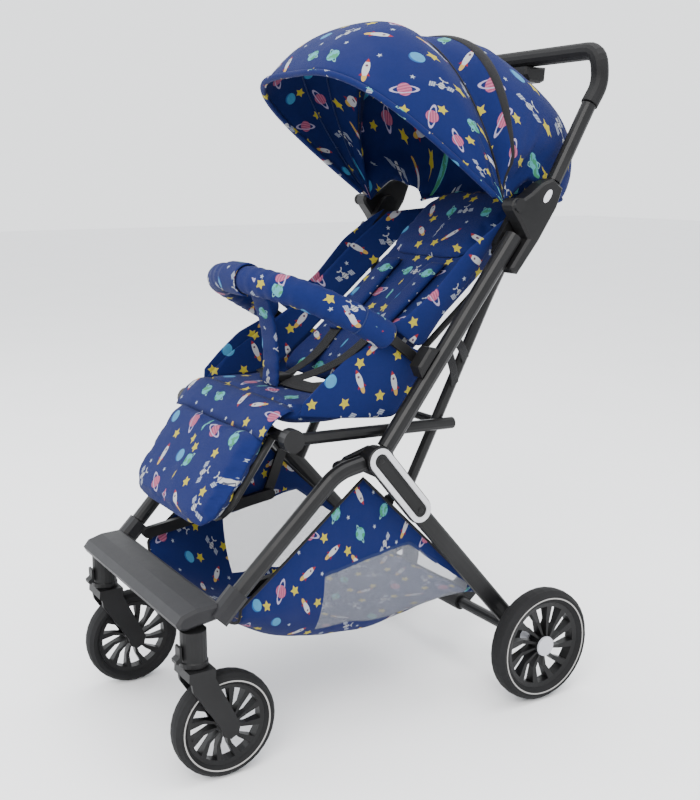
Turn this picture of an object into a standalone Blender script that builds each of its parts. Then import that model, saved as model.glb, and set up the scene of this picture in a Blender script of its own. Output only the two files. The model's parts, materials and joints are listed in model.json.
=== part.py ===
"""Baby stroller: folding aluminium frame, reclining seat, calf rest, bumper bar,
canopy, basket, swivelling front wheels and fixed rear wheels.

Metres, +Z up, ground at z = 0. The stroller faces -Y and the child's left is +X.
Side-view places are (y, z) pairs with y counted from the rear axle, which is how
the frame is set out; point() turns them into world coordinates.
"""
import math

import bmesh
import bpy
from mathutils import Matrix, Vector

# ---------------------------------------------------------------- driving dimensions
REAR_AXLE_Y = 0.2284           # world y of the rear axle, which centres the stroller
REAR_WHEEL_R = 0.0875
REAR_WHEEL_X = 0.2230          # middle of the rear tyre
REAR_WHEEL_WIDTH = 0.0320
FRONT_WHEEL_R = 0.0738
FRONT_WHEEL_WIDTH = 0.0300
CASTER_X = 0.1672
CASTER_Y = -0.5460
CASTER_TRAIL = 0.0400

HUB = (-0.277, 0.406)          # fold axis of both leg frames
HANDLE_PIVOT = (-0.018, 0.741)  # fold axis of the handle
CALF_PIVOT = (-0.397, 0.446)
RECLINE_PIVOT = (-0.247, 0.466)
BUMPER_PIVOT = (-0.199, 0.5385)
CANOPY_PIVOT = (-0.052, 0.748)
STRUT_TOP = (-0.048, 0.662)
STRUT_FOOT = (-0.207, 0.328)
LEG_BRACKET = (-0.500, 0.240)  # where the front leg meets the footrest bar
BRACE_KNEE = (-0.264, 0.272)
KNEE_PIN = (-0.237, 0.337)
REAR_AXLE = (0.0, REAR_WHEEL_R)

TUBE_X = 0.190                 # upper tubes and front legs
TUBE_R = 0.0125
FRONT_LEG_R = 0.0115
RAIL_X = 0.1655
RAIL_R = 0.0085
LEG_X = (0.1747, 0.1895)       # inner and outer face of a rear leg
STRUT_X = 0.1485
STRUT_R = 0.0080
BRACE_X = (0.1470, 0.1566)
LINK_X = (0.1573, 0.1617)       # beside the braces and clear of the struts
PLATE_X = (0.2034, 0.2112)     # hub plate, outboard of everything at the hub
HANDLE_X = 0.1920
HANDLE_R = 0.0110
GRIP_R = 0.0130
GAP = 0.0003                   # running and seating clearance
SIDES = {"left": 1, "right": -1}

COLOURS = {
    "frame": ((0.020, 0.020, 0.022), 0.42, 0.35),
    "plastic": ((0.026, 0.026, 0.028), 0.55, 0.0),
    "tyre": ((0.030, 0.030, 0.031), 0.85, 0.0),
    "rim": ((0.022, 0.022, 0.024), 0.50, 0.0),
    "cap": ((0.50, 0.50, 0.52), 0.35, 0.6),
    "grip": ((0.035, 0.035, 0.036), 0.70, 0.0),
    "fabric": ((0.022, 0.052, 0.265), 0.85, 0.0),
    "button": ((0.30, 0.30, 0.31), 0.45, 0.0),
}


# ---------------------------------------------------------------- small helpers
def point(x, yz):
    """World point for a lateral x and a side-view (y, z)."""
    return Vector((x, yz[0] + REAR_AXLE_Y, yz[1]))


def shift(yz, angle_deg, distance):
    """The side-view point at a distance from yz, at an angle above straight back."""
    a = math.radians(angle_deg)
    return (yz[0] + distance * math.cos(a), yz[1] + distance * math.sin(a))


def direction(start, end):
    """Side-view angle of the line from start to end, in degrees."""
    return math.degrees(math.atan2(end[1] - start[1], end[0] - start[0]))


def material(name):
    colour, roughness, metallic = COLOURS[name]
    mat = bpy.data.materials.new(name)
    mat.use_nodes = True
    shader = mat.node_tree.nodes["Principled BSDF"]
    shader.inputs["Base Color"].default_value = (*colour, 1.0)
    shader.inputs["Roughness"].default_value = roughness
    shader.inputs["Metallic"].default_value = metallic
    return mat


def add(name, bm, look, origin=None, crease_deg=40):
    """Turn a bmesh in world coordinates into an object whose origin is its pivot."""
    loose = [v for v in bm.verts if not v.link_faces]
    bmesh.ops.delete(bm, geom=loose, context="VERTS")
    bmesh.ops.remove_doubles(bm, verts=bm.verts, dist=1e-6)
    bmesh.ops.recalc_face_normals(bm, faces=bm.faces)
    origin = Vector((0, 0, 0)) if origin is None else origin
    bmesh.ops.translate(bm, verts=bm.verts, vec=-origin)
    mesh = bpy.data.meshes.new(name)
    bm.to_mesh(mesh)
    bm.free()
    mesh.materials.append(material(look))
    mesh.shade_smooth()
    mesh.set_sharp_from_angle(angle=math.radians(crease_deg))
    obj = bpy.data.objects.new(name, mesh)
    obj.location = origin
    bpy.context.scene.collection.objects.link(obj)
    return obj


def boolean(target, operation, bm):
    """Join a shape to the target, or cut it away, with a hidden cutter."""
    cutter = add(target.name + "_" + operation.lower(), bm, "plastic")
    cutter.hide_render = True
    cutter.display_type = "WIRE"
    modifier = target.modifiers.new(operation.title(), "BOOLEAN")
    modifier.operation = operation
    modifier.solver = "EXACT"
    modifier.object = cutter
    return target


def rounded(points, radius, steps=5):
    """Points of a path whose inner corners are arcs of about the given radius."""
    path = [points[0]]
    for before, corner, after in zip(points, points[1:], points[2:]):
        into = (before - corner)
        out = (after - corner)
        reach = min(radius, 0.49 * into.length, 0.49 * out.length)
        start = corner + into.normalized() * reach
        end = corner + out.normalized() * reach
        for i in range(steps + 1):
            t = i / steps
            path.append(start * (1 - t) ** 2 + corner * 2 * t * (1 - t) + end * t ** 2)
    path.append(points[-1])
    return path


def frames(points):
    """Tangent, side and up at each point, carried along without twist."""
    tangents = []
    for i in range(len(points)):
        ahead = points[min(i + 1, len(points) - 1)]
        behind = points[max(i - 1, 0)]
        tangents.append((ahead - behind).normalized())
    side = tangents[0].orthogonal().normalized()
    if abs(tangents[0].x) < 0.9:
        side = (Vector((1, 0, 0)) - tangents[0] * tangents[0].x).normalized()
    result = []
    for tangent in tangents:
        side = (side - tangent * side.dot(tangent)).normalized()
        result.append((tangent, side, tangent.cross(side)))
    return result


def bridge(bm, rings):
    """Skin a list of vertex rings and cap both ends."""
    count = len(rings[0])
    for lower, upper in zip(rings, rings[1:]):
        for i in range(count):
            j = (i + 1) % count
            bm.faces.new((lower[i], lower[j], upper[j], upper[i]))
    bm.faces.new(list(reversed(rings[0])))
    bm.faces.new(rings[-1])


def sweep(points, sizes, sides=12, power=2.0):
    """A tube along points. A size is (half width, half height); power 2 is an ellipse
    and a larger power is a rounded rectangle."""
    if not isinstance(sizes, list):
        sizes = [sizes] * len(points)
    bm = bmesh.new()
    rings = []
    for where, (_, side, up), size in zip(points, frames(points), sizes):
        ring = []
        for i in range(sides):
            a = 2 * math.pi * (i + 0.5) / sides
            c, s = math.cos(a), math.sin(a)
            u = math.copysign(abs(c) ** (2 / power), c) * size[0]
            v = math.copysign(abs(s) ** (2 / power), s) * size[1]
            ring.append(bm.verts.new(where + side * u + up * v))
        rings.append(ring)
    bridge(bm, rings)
    return bm


def tube(points, radius, sides=12):
    return sweep(points, (radius, radius), sides)


def prism(outline, x_range, sign=1, bevel=0.0):
    """A plate: a side-view outline between two lateral faces."""
    bm = bmesh.new()
    rings = []
    for x in x_range:
        rings.append([bm.verts.new(point(sign * x, yz)) for yz in outline])
    bridge(bm, rings)
    bmesh.ops.recalc_face_normals(bm, faces=bm.faces)
    if bevel:
        rim = [e for e in bm.edges if abs(e.verts[0].co.x - e.verts[1].co.x) < 1e-6]
        bmesh.ops.bevel(bm, geom=rim, offset=bevel, segments=1, affect="EDGES", clamp_overlap=True)
    return bm


def stadium(start, end, radius, steps=7, end_radius=None):
    """Side-view outline of a link with round ends."""
    heading = direction(start, end)
    ends = ((end, -90, end_radius or radius), (start, 90, radius))
    return [shift(centre, heading + first + 180 * i / steps, r)
            for centre, first, r in ends for i in range(steps + 1)]


def lathe(profile, centre, axis="X", steps=32):
    """Turn a closed profile of (radius, along) points about an axis through centre."""
    bm = bmesh.new()
    rings = []
    for k in range(steps):
        a = 2 * math.pi * k / steps
        ring = []
        for radius, along in profile:
            c, s = radius * math.cos(a), radius * math.sin(a)
            offset = Vector((along, c, s)) if axis == "X" else Vector((c, s, along))
            ring.append(bm.verts.new(centre + offset))
        rings.append(ring)
    count = len(profile)
    for k in range(steps):
        here, there = rings[k], rings[(k + 1) % steps]
        for i in range(count):
            j = (i + 1) % count
            bm.faces.new((here[i], here[j], there[j], there[i]))
    return bm


def disc(centre, radius, along, axis="X", steps=20):
    """A plain cylinder between two stations along an axis."""
    bm = bmesh.new()
    rings = []
    for station in along:
        ring = []
        for k in range(steps):
            a = 2 * math.pi * k / steps
            c, s = radius * math.cos(a), radius * math.sin(a)
            offset = Vector((station, c, s)) if axis == "X" else Vector((c, s, station))
            ring.append(bm.verts.new(centre + offset))
        rings.append(ring)
    bridge(bm, rings)
    return bm


def mirrored(x_range, sign):
    return tuple(sorted(sign * x for x in x_range))


# ---------------------------------------------------------------- main frame
def make_upper_tube(side, sign):
    """Tube from the fold hub up to the handle pivot, with a pivot lug at its top."""
    up = direction(HUB, HANDLE_PIVOT)
    low = shift(HUB, up, 0.0216)
    top = shift(HANDLE_PIVOT, up, -0.046)
    path = [point(sign * TUBE_X, p) for p in (low, top)]
    obj = add("upper_tube_" + side, tube(path, TUBE_R, 16), "frame")
    neck = shift(HANDLE_PIVOT, up, -0.062)
    lug = stadium(neck, HANDLE_PIVOT, 0.011, 6, 0.014)
    boolean(obj, "UNION", prism(lug, (0.1664, 0.1774), sign))
    root = stadium(shift(neck, up, -0.012), neck, 0.008, 4)
    return boolean(obj, "UNION", prism(root, (0.1702, 0.1880), sign))


def make_fold_hub(side, sign):
    """Round hub block that both leg frames turn on."""
    centre = point(0, HUB)
    return add("fold_hub_" + side, disc(centre, 0.0212, mirrored((0.1778, 0.2030), sign)), "plastic")


def make_seat_rail(side, sign):
    """Seat side tube with a round pivot cover at the calf rest."""
    path = [point(sign * RAIL_X, p) for p in ((CALF_PIVOT[0] + 0.004, CALF_PIVOT[1]), (-0.131, 0.4383))]
    obj = add("seat_rail_" + side, tube(path, RAIL_R, 12), "frame")
    cover = disc(point(0, CALF_PIVOT), 0.0160, mirrored((0.1572, 0.1745), sign), steps=16)
    return boolean(obj, "UNION", cover)


def make_seat_rear_tube():
    half = RAIL_X - RAIL_R - 0.0006
    path = [point(x, (-0.1340, 0.4345)) for x in (-half, half)]
    return add("seat_rear_tube", tube(path, 0.0062, 10), "frame")


def make_bumper_socket(side, sign):
    """Plastic socket clamped on the front of the upper tube."""
    up = direction(HUB, HANDLE_PIVOT)
    outline = []
    for u, v in ((-0.024, 0.0), (-0.016, 0.016), (0.016, 0.016), (0.024, 0.0)):
        outline.append(shift(shift(BUMPER_PIVOT, up, u), up + 90, v - 0.0045))
    return add("bumper_socket_" + side, prism(outline, (0.1775, 0.2030), sign, 0.003), "plastic")


# ---------------------------------------------------------------- seat and soft solids
def cushion(name, spine, half_widths, half_depths, origin, rows=14, power=3.0):
    """A padded solid along a side-view spine, lofted from rounded sections."""
    points = [point(0, p) for p in spine]
    sizes = list(zip(half_widths, half_depths))
    return add(name, sweep(points, sizes, rows, power), "fabric", origin, 60)


def make_seat_cushion():
    spine = ((-0.389, 0.4715), (-0.380, 0.4720), (-0.310, 0.4700), (-0.262, 0.4690), (-0.256, 0.4690))
    return cushion("seat_cushion", spine, (0.138, 0.149, 0.150, 0.149, 0.138),
                   (0.007, 0.0130, 0.0135, 0.012, 0.008), None)


BACK_ANGLE = 40.0              # backrest above the horizontal, as stored
BACK_LENGTH = 0.440


def make_backrest():
    """Wire frame and padded back that recline together."""
    origin = point(0, RECLINE_PIVOT)
    top = shift(RECLINE_PIVOT, BACK_ANGLE, BACK_LENGTH - 0.02)
    corners = [point(-0.125, RECLINE_PIVOT), point(-0.125, top), point(0.125, top), point(0.125, RECLINE_PIVOT)]
    frame = add("backrest_frame", tube(rounded(corners, 0.05, 4), 0.0050, 8), "frame", origin)
    bar = [point(x, RECLINE_PIVOT) for x in (-0.140, 0.140)]
    boolean(frame, "UNION", tube(bar, 0.0062, 8))
    base = shift(RECLINE_PIVOT, BACK_ANGLE + 90, 0.0175)
    stations = (0.004, 0.014, 0.10, 0.28, BACK_LENGTH - 0.012, BACK_LENGTH)
    spine = [shift(base, BACK_ANGLE, s) for s in stations]
    cushion("backrest_cushion", spine, (0.120, 0.133, 0.135, 0.135, 0.128, 0.110),
            (0.007, 0.0115, 0.0120, 0.0120, 0.011, 0.006), origin)


CALF_ANGLE = 234.0             # calf rest below the straight-ahead direction
CALF_LENGTH = 0.168


def make_calf_rest():
    """U-shaped frame hinged at the seat front, and its pad."""
    origin = point(0, CALF_PIVOT)
    end = shift(CALF_PIVOT, CALF_ANGLE, CALF_LENGTH - 0.03)
    corners = [point(-0.118, CALF_PIVOT), point(-0.118, end), point(0.118, end), point(0.118, CALF_PIVOT)]
    frame = add("calf_frame", tube(rounded(corners, 0.035, 4), 0.0060, 8), "frame", origin)
    bar = [point(x, CALF_PIVOT) for x in (-0.1567, 0.1567)]
    boolean(frame, "UNION", tube(bar, 0.0080, 12))
    base = shift(CALF_PIVOT, CALF_ANGLE - 90, 0.0190)
    stations = (0.007, 0.014, 0.06, 0.115, 0.148, 0.163, 0.171)
    spine = [shift(base, CALF_ANGLE, s) for s in stations]
    cushion("calf_cushion", spine, (0.134, 0.142, 0.143, 0.142, 0.134, 0.112, 0.085),
            (0.006, 0.0095, 0.0100, 0.0100, 0.0095, 0.008, 0.004), origin)


def make_bumper_bar():
    """Padded U-shaped bar with bare arms and pivot eyes."""
    origin = point(0, BUMPER_PIVOT)
    half = [point(0.1685, BUMPER_PIVOT), point(0.1685, (-0.222, 0.556)), point(0.1690, (-0.248, 0.574)),
            point(0.1600, (-0.300, 0.604)), point(0.1300, (-0.350, 0.630)), point(0.0700, (-0.378, 0.643)),
            point(0.0, (-0.385, 0.646))]
    other = [Vector((-p.x, p.y, p.z)) for p in reversed(half[:-1])]
    path = rounded(half + other, 0.040, 3)
    sizes = []
    for p in path:
        padded = (p - point(p.x, BUMPER_PIVOT)).length > 0.058
        sizes.append((0.0205, 0.0205) if padded else (0.0085, 0.0145))
    sizes[0] = sizes[-1] = (0.0085, 0.0110)
    return add("bumper_bar", sweep(path, sizes, 12), "fabric", origin, 60)


def make_crotch_strap():
    """Fabric strap from the middle of the bumper bar down to the seat."""
    spine = [point(0, p) for p in ((-0.372, 0.6215), (-0.352, 0.560), (-0.349, 0.500), (-0.351, 0.4875))]
    return add("crotch_strap", sweep(spine, [(0.020, 0.0015)] * 4, 8, 4.0), "fabric")


# ---------------------------------------------------------------- handle and canopy
def make_handle():
    """Housings on the fold axis, straight tubes, the U-shaped grip and its controls."""
    origin = point(0, HANDLE_PIVOT)
    lean = 60.0
    up = direction(HUB, HANDLE_PIVOT)
    tube_foot = shift(shift(HANDLE_PIVOT, up, 0.0560), up - 90, 0.0090)
    tube_top = shift(tube_foot, lean, 0.1260)
    for side, sign in SIDES.items():
        path = [point(sign * HANDLE_X, p) for p in (shift(tube_foot, lean, 0.0004), tube_top)]
        add("handle_tube_" + side, tube(path, HANDLE_R, 14), "frame", origin)
        make_handle_housing(side, sign, origin)
    elbow = shift(tube_top, lean - 4, 0.037)
    bend = (elbow[0] - 0.005, 0.9665)
    half = [point(HANDLE_X, shift(tube_top, lean, 0.0014)), point(HANDLE_X, elbow), point(HANDLE_X, bend)]
    path = half + [Vector((-p.x, p.y, p.z)) for p in reversed(half)]
    add("handle_grip", tube(rounded(path, 0.050, 6), GRIP_R, 14), "grip", origin)
    make_handle_controls(bend, origin)


def make_handle_housing(side, sign, origin):
    """Housing that turns on the upper tube's lug, carries the handle tube and the
    canopy pivot, and reaches down behind the tube to the strut."""
    up = direction(HUB, HANDLE_PIVOT)
    corners = ((-0.090, 0.0140), (-0.0935, 0.0220), (-0.090, 0.0300), (-0.030, 0.0320), (0.026, 0.0290),
               (0.0540, 0.0210), (0.0530, -0.0030), (0.036, -0.0145), (0.012, -0.0220), (-0.0010, -0.0280),
               (-0.0054, -0.0348), (-0.0093, -0.0398), (-0.0153, -0.0417), (-0.0220, -0.0392),
               (-0.0256, -0.0330), (-0.031, -0.0120), (-0.040, 0.0140))
    outline = [shift(shift(HANDLE_PIVOT, up, u), up - 90, v) for u, v in corners]
    add("handle_housing_" + side, prism(outline, (0.1778, 0.2062), sign, 0.0035), "plastic", origin)


def make_handle_controls(bend, origin):
    """Fold control box under the middle of the grip, with its push button."""
    top = bend[1] - GRIP_R - GAP
    outline = [(bend[0] - 0.021, top), (bend[0] + 0.021, top), (bend[0] + 0.019, top - 0.020),
               (bend[0] + 0.010, top - 0.024), (bend[0] - 0.014, top - 0.022), (bend[0] - 0.021, top - 0.012)]
    box = add("control_box", prism(outline, (-0.058, 0.058), 1, 0.003), "plastic", origin)
    pocket = disc(point(0, (bend[0], top)), 0.0125, (-0.030, -0.013), "Z", 20)
    boolean(box, "DIFFERENCE", pocket)
    centre = point(0, (bend[0], top))
    add("fold_button", disc(centre, 0.0120, (-0.027, -0.0165), "Z", 20), "button", centre)


def canopy_section(angle_deg, reach, half_width, power, steps=14):
    """Points of one canopy rib: a superellipse arch in a plane through the pivots."""
    a = math.radians(angle_deg)
    points = []
    for k in range(steps + 1):
        t = math.pi * k / steps
        c, s = math.cos(t), math.sin(t)
        x = math.copysign(abs(c) ** (2 / power), c) * half_width
        r = max(abs(s) ** (2 / power) * reach, 0.0)
        points.append(point(x, (CANOPY_PIVOT[0] - r * math.cos(a), CANOPY_PIVOT[1] + r * math.sin(a))))
    return points


def shell(rows, thickness):
    """A closed skin of even thickness on a grid of points, grown inwards."""
    bm = bmesh.new()
    grid = [[bm.verts.new(p) for p in row] for row in rows]
    for lower, upper in zip(grid, grid[1:]):
        for i in range(len(lower) - 1):
            bm.faces.new((lower[i], lower[i + 1], upper[i + 1], upper[i]))
    bmesh.ops.recalc_face_normals(bm, faces=bm.faces)
    centre = sum((v.co for v in bm.verts), Vector()) / len(bm.verts)
    face = max(bm.faces, key=lambda f: (f.calc_center_median() - centre).length)
    outward = face.normal.dot(face.calc_center_median() - centre) > 0
    bmesh.ops.solidify(bm, geom=bm.faces[:], thickness=thickness if outward else -thickness)
    return bm


CANOPY_RIBS = {"front": (36.0, 0.307, 0.175, 3.6), "crest": (60.0, 0.290, 0.181, 2.9),
               "middle": (74.0, 0.254, 0.176, 2.2), "band": (86.0, 0.241, 0.197, 2.6)}


def make_canopy():
    """Pivot discs, front rib, and the two fabric sections as thin shells."""
    origin = point(0, CANOPY_PIVOT)
    for side, sign in SIDES.items():
        pivot = disc(origin, 0.0095, mirrored((0.2066, 0.2106), sign), steps=16)
        add("canopy_pivot_" + side, pivot, "plastic", origin)
    lift = 0.0150              # the fabric stops short of the pivots
    front = []
    for rib in ("front", "crest", "middle", "band"):
        angle, reach, width, power = CANOPY_RIBS[rib]
        front.append(trimmed(canopy_section(angle, reach, width, power), lift))
    add("canopy_front_fabric", shell(front, 0.0025), "fabric", origin, 60)
    angle, reach, width, power = CANOPY_RIBS["front"]
    rib = trimmed(canopy_section(angle, reach - 0.010, width - 0.010, power, 18), lift)
    add("canopy_front_bow", tube(rib, 0.0030, 6), "frame", origin)
    rear = [trimmed(canopy_section(92.5, 0.241, 0.197, 2.6), lift * 2.2)]
    tail = (((0.018, 0.942), 0.186), ((0.080, 0.893), 0.176), ((0.108, 0.845), 0.170), ((0.108, 0.790), 0.166),
            ((0.092, 0.757), 0.163))
    for crest, half_width in tail:
        rear.append(tail_section(crest, half_width))
    add("canopy_rear_fabric", shell(rear, 0.0025), "fabric", origin, 60)


def trimmed(points, lift):
    """The same arch with its two feet raised clear of the pivots."""
    feet = (points[0], points[-1])
    for foot, towards in zip((0, -1), (points[1], points[-2])):
        along = towards - feet[foot]
        points[foot] = feet[foot] + along.normalized() * min(lift, along.length * 0.8)
    return points


def tail_section(crest, half_width, power=4.0, steps=14):
    """One arch of the canopy's rear panel, from a crest down to the handle tubes."""
    foot = (crest[0] * 0.45 - 0.010, min(0.800 - 0.25 * (0.955 - crest[1]), crest[1] - 0.010))
    points = []
    for k in range(steps + 1):
        t = math.pi * k / steps
        c, s = math.cos(t), math.sin(t)
        x = math.copysign(abs(c) ** (2 / power), c) * half_width
        w = abs(s) ** (2 / power)
        points.append(point(x, (foot[0] + (crest[0] - foot[0]) * w, foot[1] + (crest[1] - foot[1]) * w)))
    return points


# ---------------------------------------------------------------- rear frame
def make_rear_leg(side, sign):
    """Flat-oval leg, thick where it joins the hub plate and slim at the axle."""
    origin = point(0, HUB)
    heading = direction(HUB, REAR_AXLE)
    length = math.dist(HUB, REAR_AXLE)
    mid = sum(LEG_X) / 2
    slim = (LEG_X[1] - LEG_X[0]) / 2
    wide_mid = (LEG_X[0] + PLATE_X[0] - GAP) / 2
    wide = (PLATE_X[0] - GAP - LEG_X[0]) / 2
    stations = ((0.054, wide_mid, wide, 0.0130), (0.090, wide_mid, wide, 0.0140), (0.112, mid, slim, 0.0140),
                (length - 0.016, mid, slim, 0.0140), (length + 0.004, mid, slim, 0.0140),
                (length + 0.013, mid, slim, 0.0080))
    points = [point(sign * s[1], shift(HUB, heading, s[0])) for s in stations]
    return add("rear_leg_" + side, sweep(points, [(s[2], s[3]) for s in stations], 14, 2.6), "frame", origin)


def make_hub_plate(side, sign):
    """Outer plate that carries the rear leg on the fold hub."""
    outline = stadium((-0.284, 0.412), (-0.218, 0.332), 0.0195, 9)
    return add("hub_plate_" + side, prism(outline, PLATE_X, sign, 0.0022), "plastic", point(0, HUB))


def make_rear_axle():
    """Cross tube between the rear legs."""
    half = LEG_X[0] - 0.0005
    path = [point(x, REAR_AXLE) for x in (-half, half)]
    return add("rear_axle", tube(path, 0.0090, 14), "frame", point(0, HUB))


def make_brake_pedal():
    """Foot bar hinged on the rear axle, sleeve and tread in one."""
    origin = point(0, REAR_AXLE)
    profile = [(0.0094, -0.030), (0.0135, -0.030), (0.0135, 0.030), (0.0094, 0.030)]
    obj = add("brake_pedal", lathe(profile, origin, "X", 20), "plastic", origin)
    tread = ((0.0125, 0.0905), (0.0430, 0.1130), (0.0470, 0.1080), (0.0130, 0.0790))
    return boolean(obj, "UNION", prism(tread, (-0.0285, 0.0285)))


def make_wheel(prefix, radius, width, centre, bore, spokes=12):
    """Tyre and spoked rim as two solids about one axle."""
    half = width / 2
    bead = radius * 0.775
    tyre = [(bead, -half * 0.62), (bead, half * 0.62), (radius * 0.845, half * 0.94), (radius * 0.92, half),
            (radius * 0.985, half * 0.62), (radius, half * 0.20), (radius, -half * 0.20),
            (radius * 0.985, -half * 0.62), (radius * 0.92, -half), (radius * 0.845, -half * 0.94)]
    add(prefix[0], lathe(tyre, centre, "X", 36), "tyre", centre, 50)
    add(prefix[1], spoked_disc(centre, bead - GAP, half, bore, spokes), "rim", centre, 35)


def spoked_disc(centre, outer, half, bore, spokes):
    """Hub, twisted spokes and rim ring as one solid cut from a ring of cells."""
    hub = max(0.20 * outer, bore + 0.008)
    radii = (bore, hub, 0.52 * outer + 0.2 * hub, outer * 0.90, outer)
    depths = (0.80 * half, 0.62 * half, 0.30 * half, 0.50 * half, 0.62 * half)
    twist = (0.0, 0.0, 7.0, 14.0, 14.0)
    count = spokes * 3
    bm = bmesh.new()
    front, back = [], []
    for radius, depth, turn in zip(radii, depths, twist):
        ring_front, ring_back = [], []
        for k in range(count):
            a = math.radians(360.0 * k / count + turn)
            c, s = radius * math.cos(a), radius * math.sin(a)
            ring_front.append(bm.verts.new(centre + Vector((depth, c, s))))
            ring_back.append(bm.verts.new(centre + Vector((-depth, c, s))))
        front.append(ring_front)
        back.append(ring_back)
    kept = {(i, k) for i in range(4) for k in range(count) if i in (0, 3) or k % 3 == 0}
    for i, k in kept:
        m = (k + 1) % count
        bm.faces.new((front[i][k], front[i][m], front[i + 1][m], front[i + 1][k]))
        bm.faces.new((back[i][k], back[i + 1][k], back[i + 1][m], back[i][m]))
        walls = (((i - 1, k), (i, k), (i, m)), ((i + 1, k), (i + 1, k), (i + 1, m)),
                 ((i, (k - 1) % count), (i, k), (i + 1, k)), ((i, m), (i, m), (i + 1, m)))
        for neighbour, a, b in walls:
            if neighbour not in kept:
                bm.faces.new((front[a[0]][a[1]], front[b[0]][b[1]], back[b[0]][b[1]], back[a[0]][a[1]]))
    return bm


def make_rear_wheels():
    for side, sign in SIDES.items():
        centre = point(sign * REAR_WHEEL_X, REAR_AXLE)
        make_wheel(("rear_tyre_" + side, "rear_rim_" + side), REAR_WHEEL_R, REAR_WHEEL_WIDTH, centre, 0.0065)
        inner = LEG_X[1] + GAP - REAR_WHEEL_X
        face = 0.80 * REAR_WHEEL_WIDTH / 2 + GAP
        profile = [(0.0, inner), (0.0095, inner), (0.0095, inner + 0.0150), (0.0060, inner + 0.0150),
                   (0.0060, face), (0.0155, face), (0.0150, face + 0.0025), (0.0, face + 0.0032)]
        bolt = turned(profile, centre, sign)
        add("rear_axle_bolt_" + side, bolt, "cap", point(0, HUB))


def turned(profile, centre, sign, steps=24):
    """A solid of revolution about X whose profile starts and ends on the axis."""
    bm = bmesh.new()
    start = bm.verts.new(centre + Vector((sign * profile[0][1], 0, 0)))
    end = bm.verts.new(centre + Vector((sign * profile[-1][1], 0, 0)))
    rings = []
    for radius, along in profile[1:-1]:
        ring = []
        for k in range(steps):
            a = 2 * math.pi * k / steps
            ring.append(bm.verts.new(centre + Vector((sign * along, radius * math.cos(a), radius * math.sin(a)))))
        rings.append(ring)
    for k in range(steps):
        m = (k + 1) % steps
        bm.faces.new((start, rings[0][m], rings[0][k]))
        bm.faces.new((end, rings[-1][k], rings[-1][m]))
        for lower, upper in zip(rings, rings[1:]):
            bm.faces.new((lower[k], lower[m], upper[m], upper[k]))
    return bm


# ---------------------------------------------------------------- front frame
def make_front_leg(side, sign):
    """Bent leg with a flat eye on the fold hub."""
    origin = point(0, HUB)
    bend = (-0.341, 0.3995)
    foot = shift(LEG_BRACKET, direction(LEG_BRACKET, bend), 0.0236)
    start = (-0.3015, 0.4065)
    path = rounded([point(sign * TUBE_X, start), point(sign * TUBE_X, bend), point(sign * 0.178, foot)], 0.03, 5)
    obj = add("front_leg_" + side, tube(path, FRONT_LEG_R, 14), "frame", origin)
    boolean(obj, "UNION", prism(stadium(HUB, (-0.312, 0.4045), 0.0180, 7, 0.0095), (0.1664, 0.1775), sign))
    return boolean(obj, "UNION", prism(stadium((-0.312, 0.4045), (-0.330, 0.402), 0.0075, 5), (0.1702, 0.1880), sign))


def make_footrest():
    """Wide soft-edged bar across the front, with a bracket for each leg."""
    origin = point(0, HUB)
    outline = [(-0.574, 0.2300), (-0.570, 0.2220), (-0.560, 0.2190), (-0.512, 0.2260), (-0.506, 0.2320),
               (-0.508, 0.2420), (-0.516, 0.2470), (-0.545, 0.2460), (-0.566, 0.2400)]
    obj = add("footrest", prism(outline, (-0.1810, 0.1810), 1, 0.004), "plastic", origin)
    bend = (-0.341, 0.3995)
    heading = direction(LEG_BRACKET, bend)
    for sign in SIDES.values():
        ends = [point(sign * 0.1755, shift(LEG_BRACKET, heading, s)) for s in (-0.022, 0.0230)]
        boolean(obj, "UNION", sweep(ends, (0.0130, 0.0150), 10, 3.0))
    return obj


def make_caster_socket(side, sign):
    """Upright socket under the footrest with a collar at its foot."""
    profile = [(0.0, 0.1655), (0.0180, 0.1655), (0.0192, 0.1670), (0.0192, 0.1730), (0.0178, 0.1745),
               (0.0178, 0.2155), (0.0, 0.2155)]
    centre = Vector((sign * CASTER_X, CASTER_Y + REAR_AXLE_Y, 0))
    bm = bmesh.new()
    rings = []
    for radius, z in profile[1:-1]:
        ring = []
        for k in range(20):
            a = 2 * math.pi * k / 20
            ring.append(bm.verts.new(centre + Vector((radius * math.cos(a), radius * math.sin(a), z))))
        rings.append(ring)
    bridge(bm, rings)
    return add("caster_socket_" + side, bm, "plastic", point(0, HUB))


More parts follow.
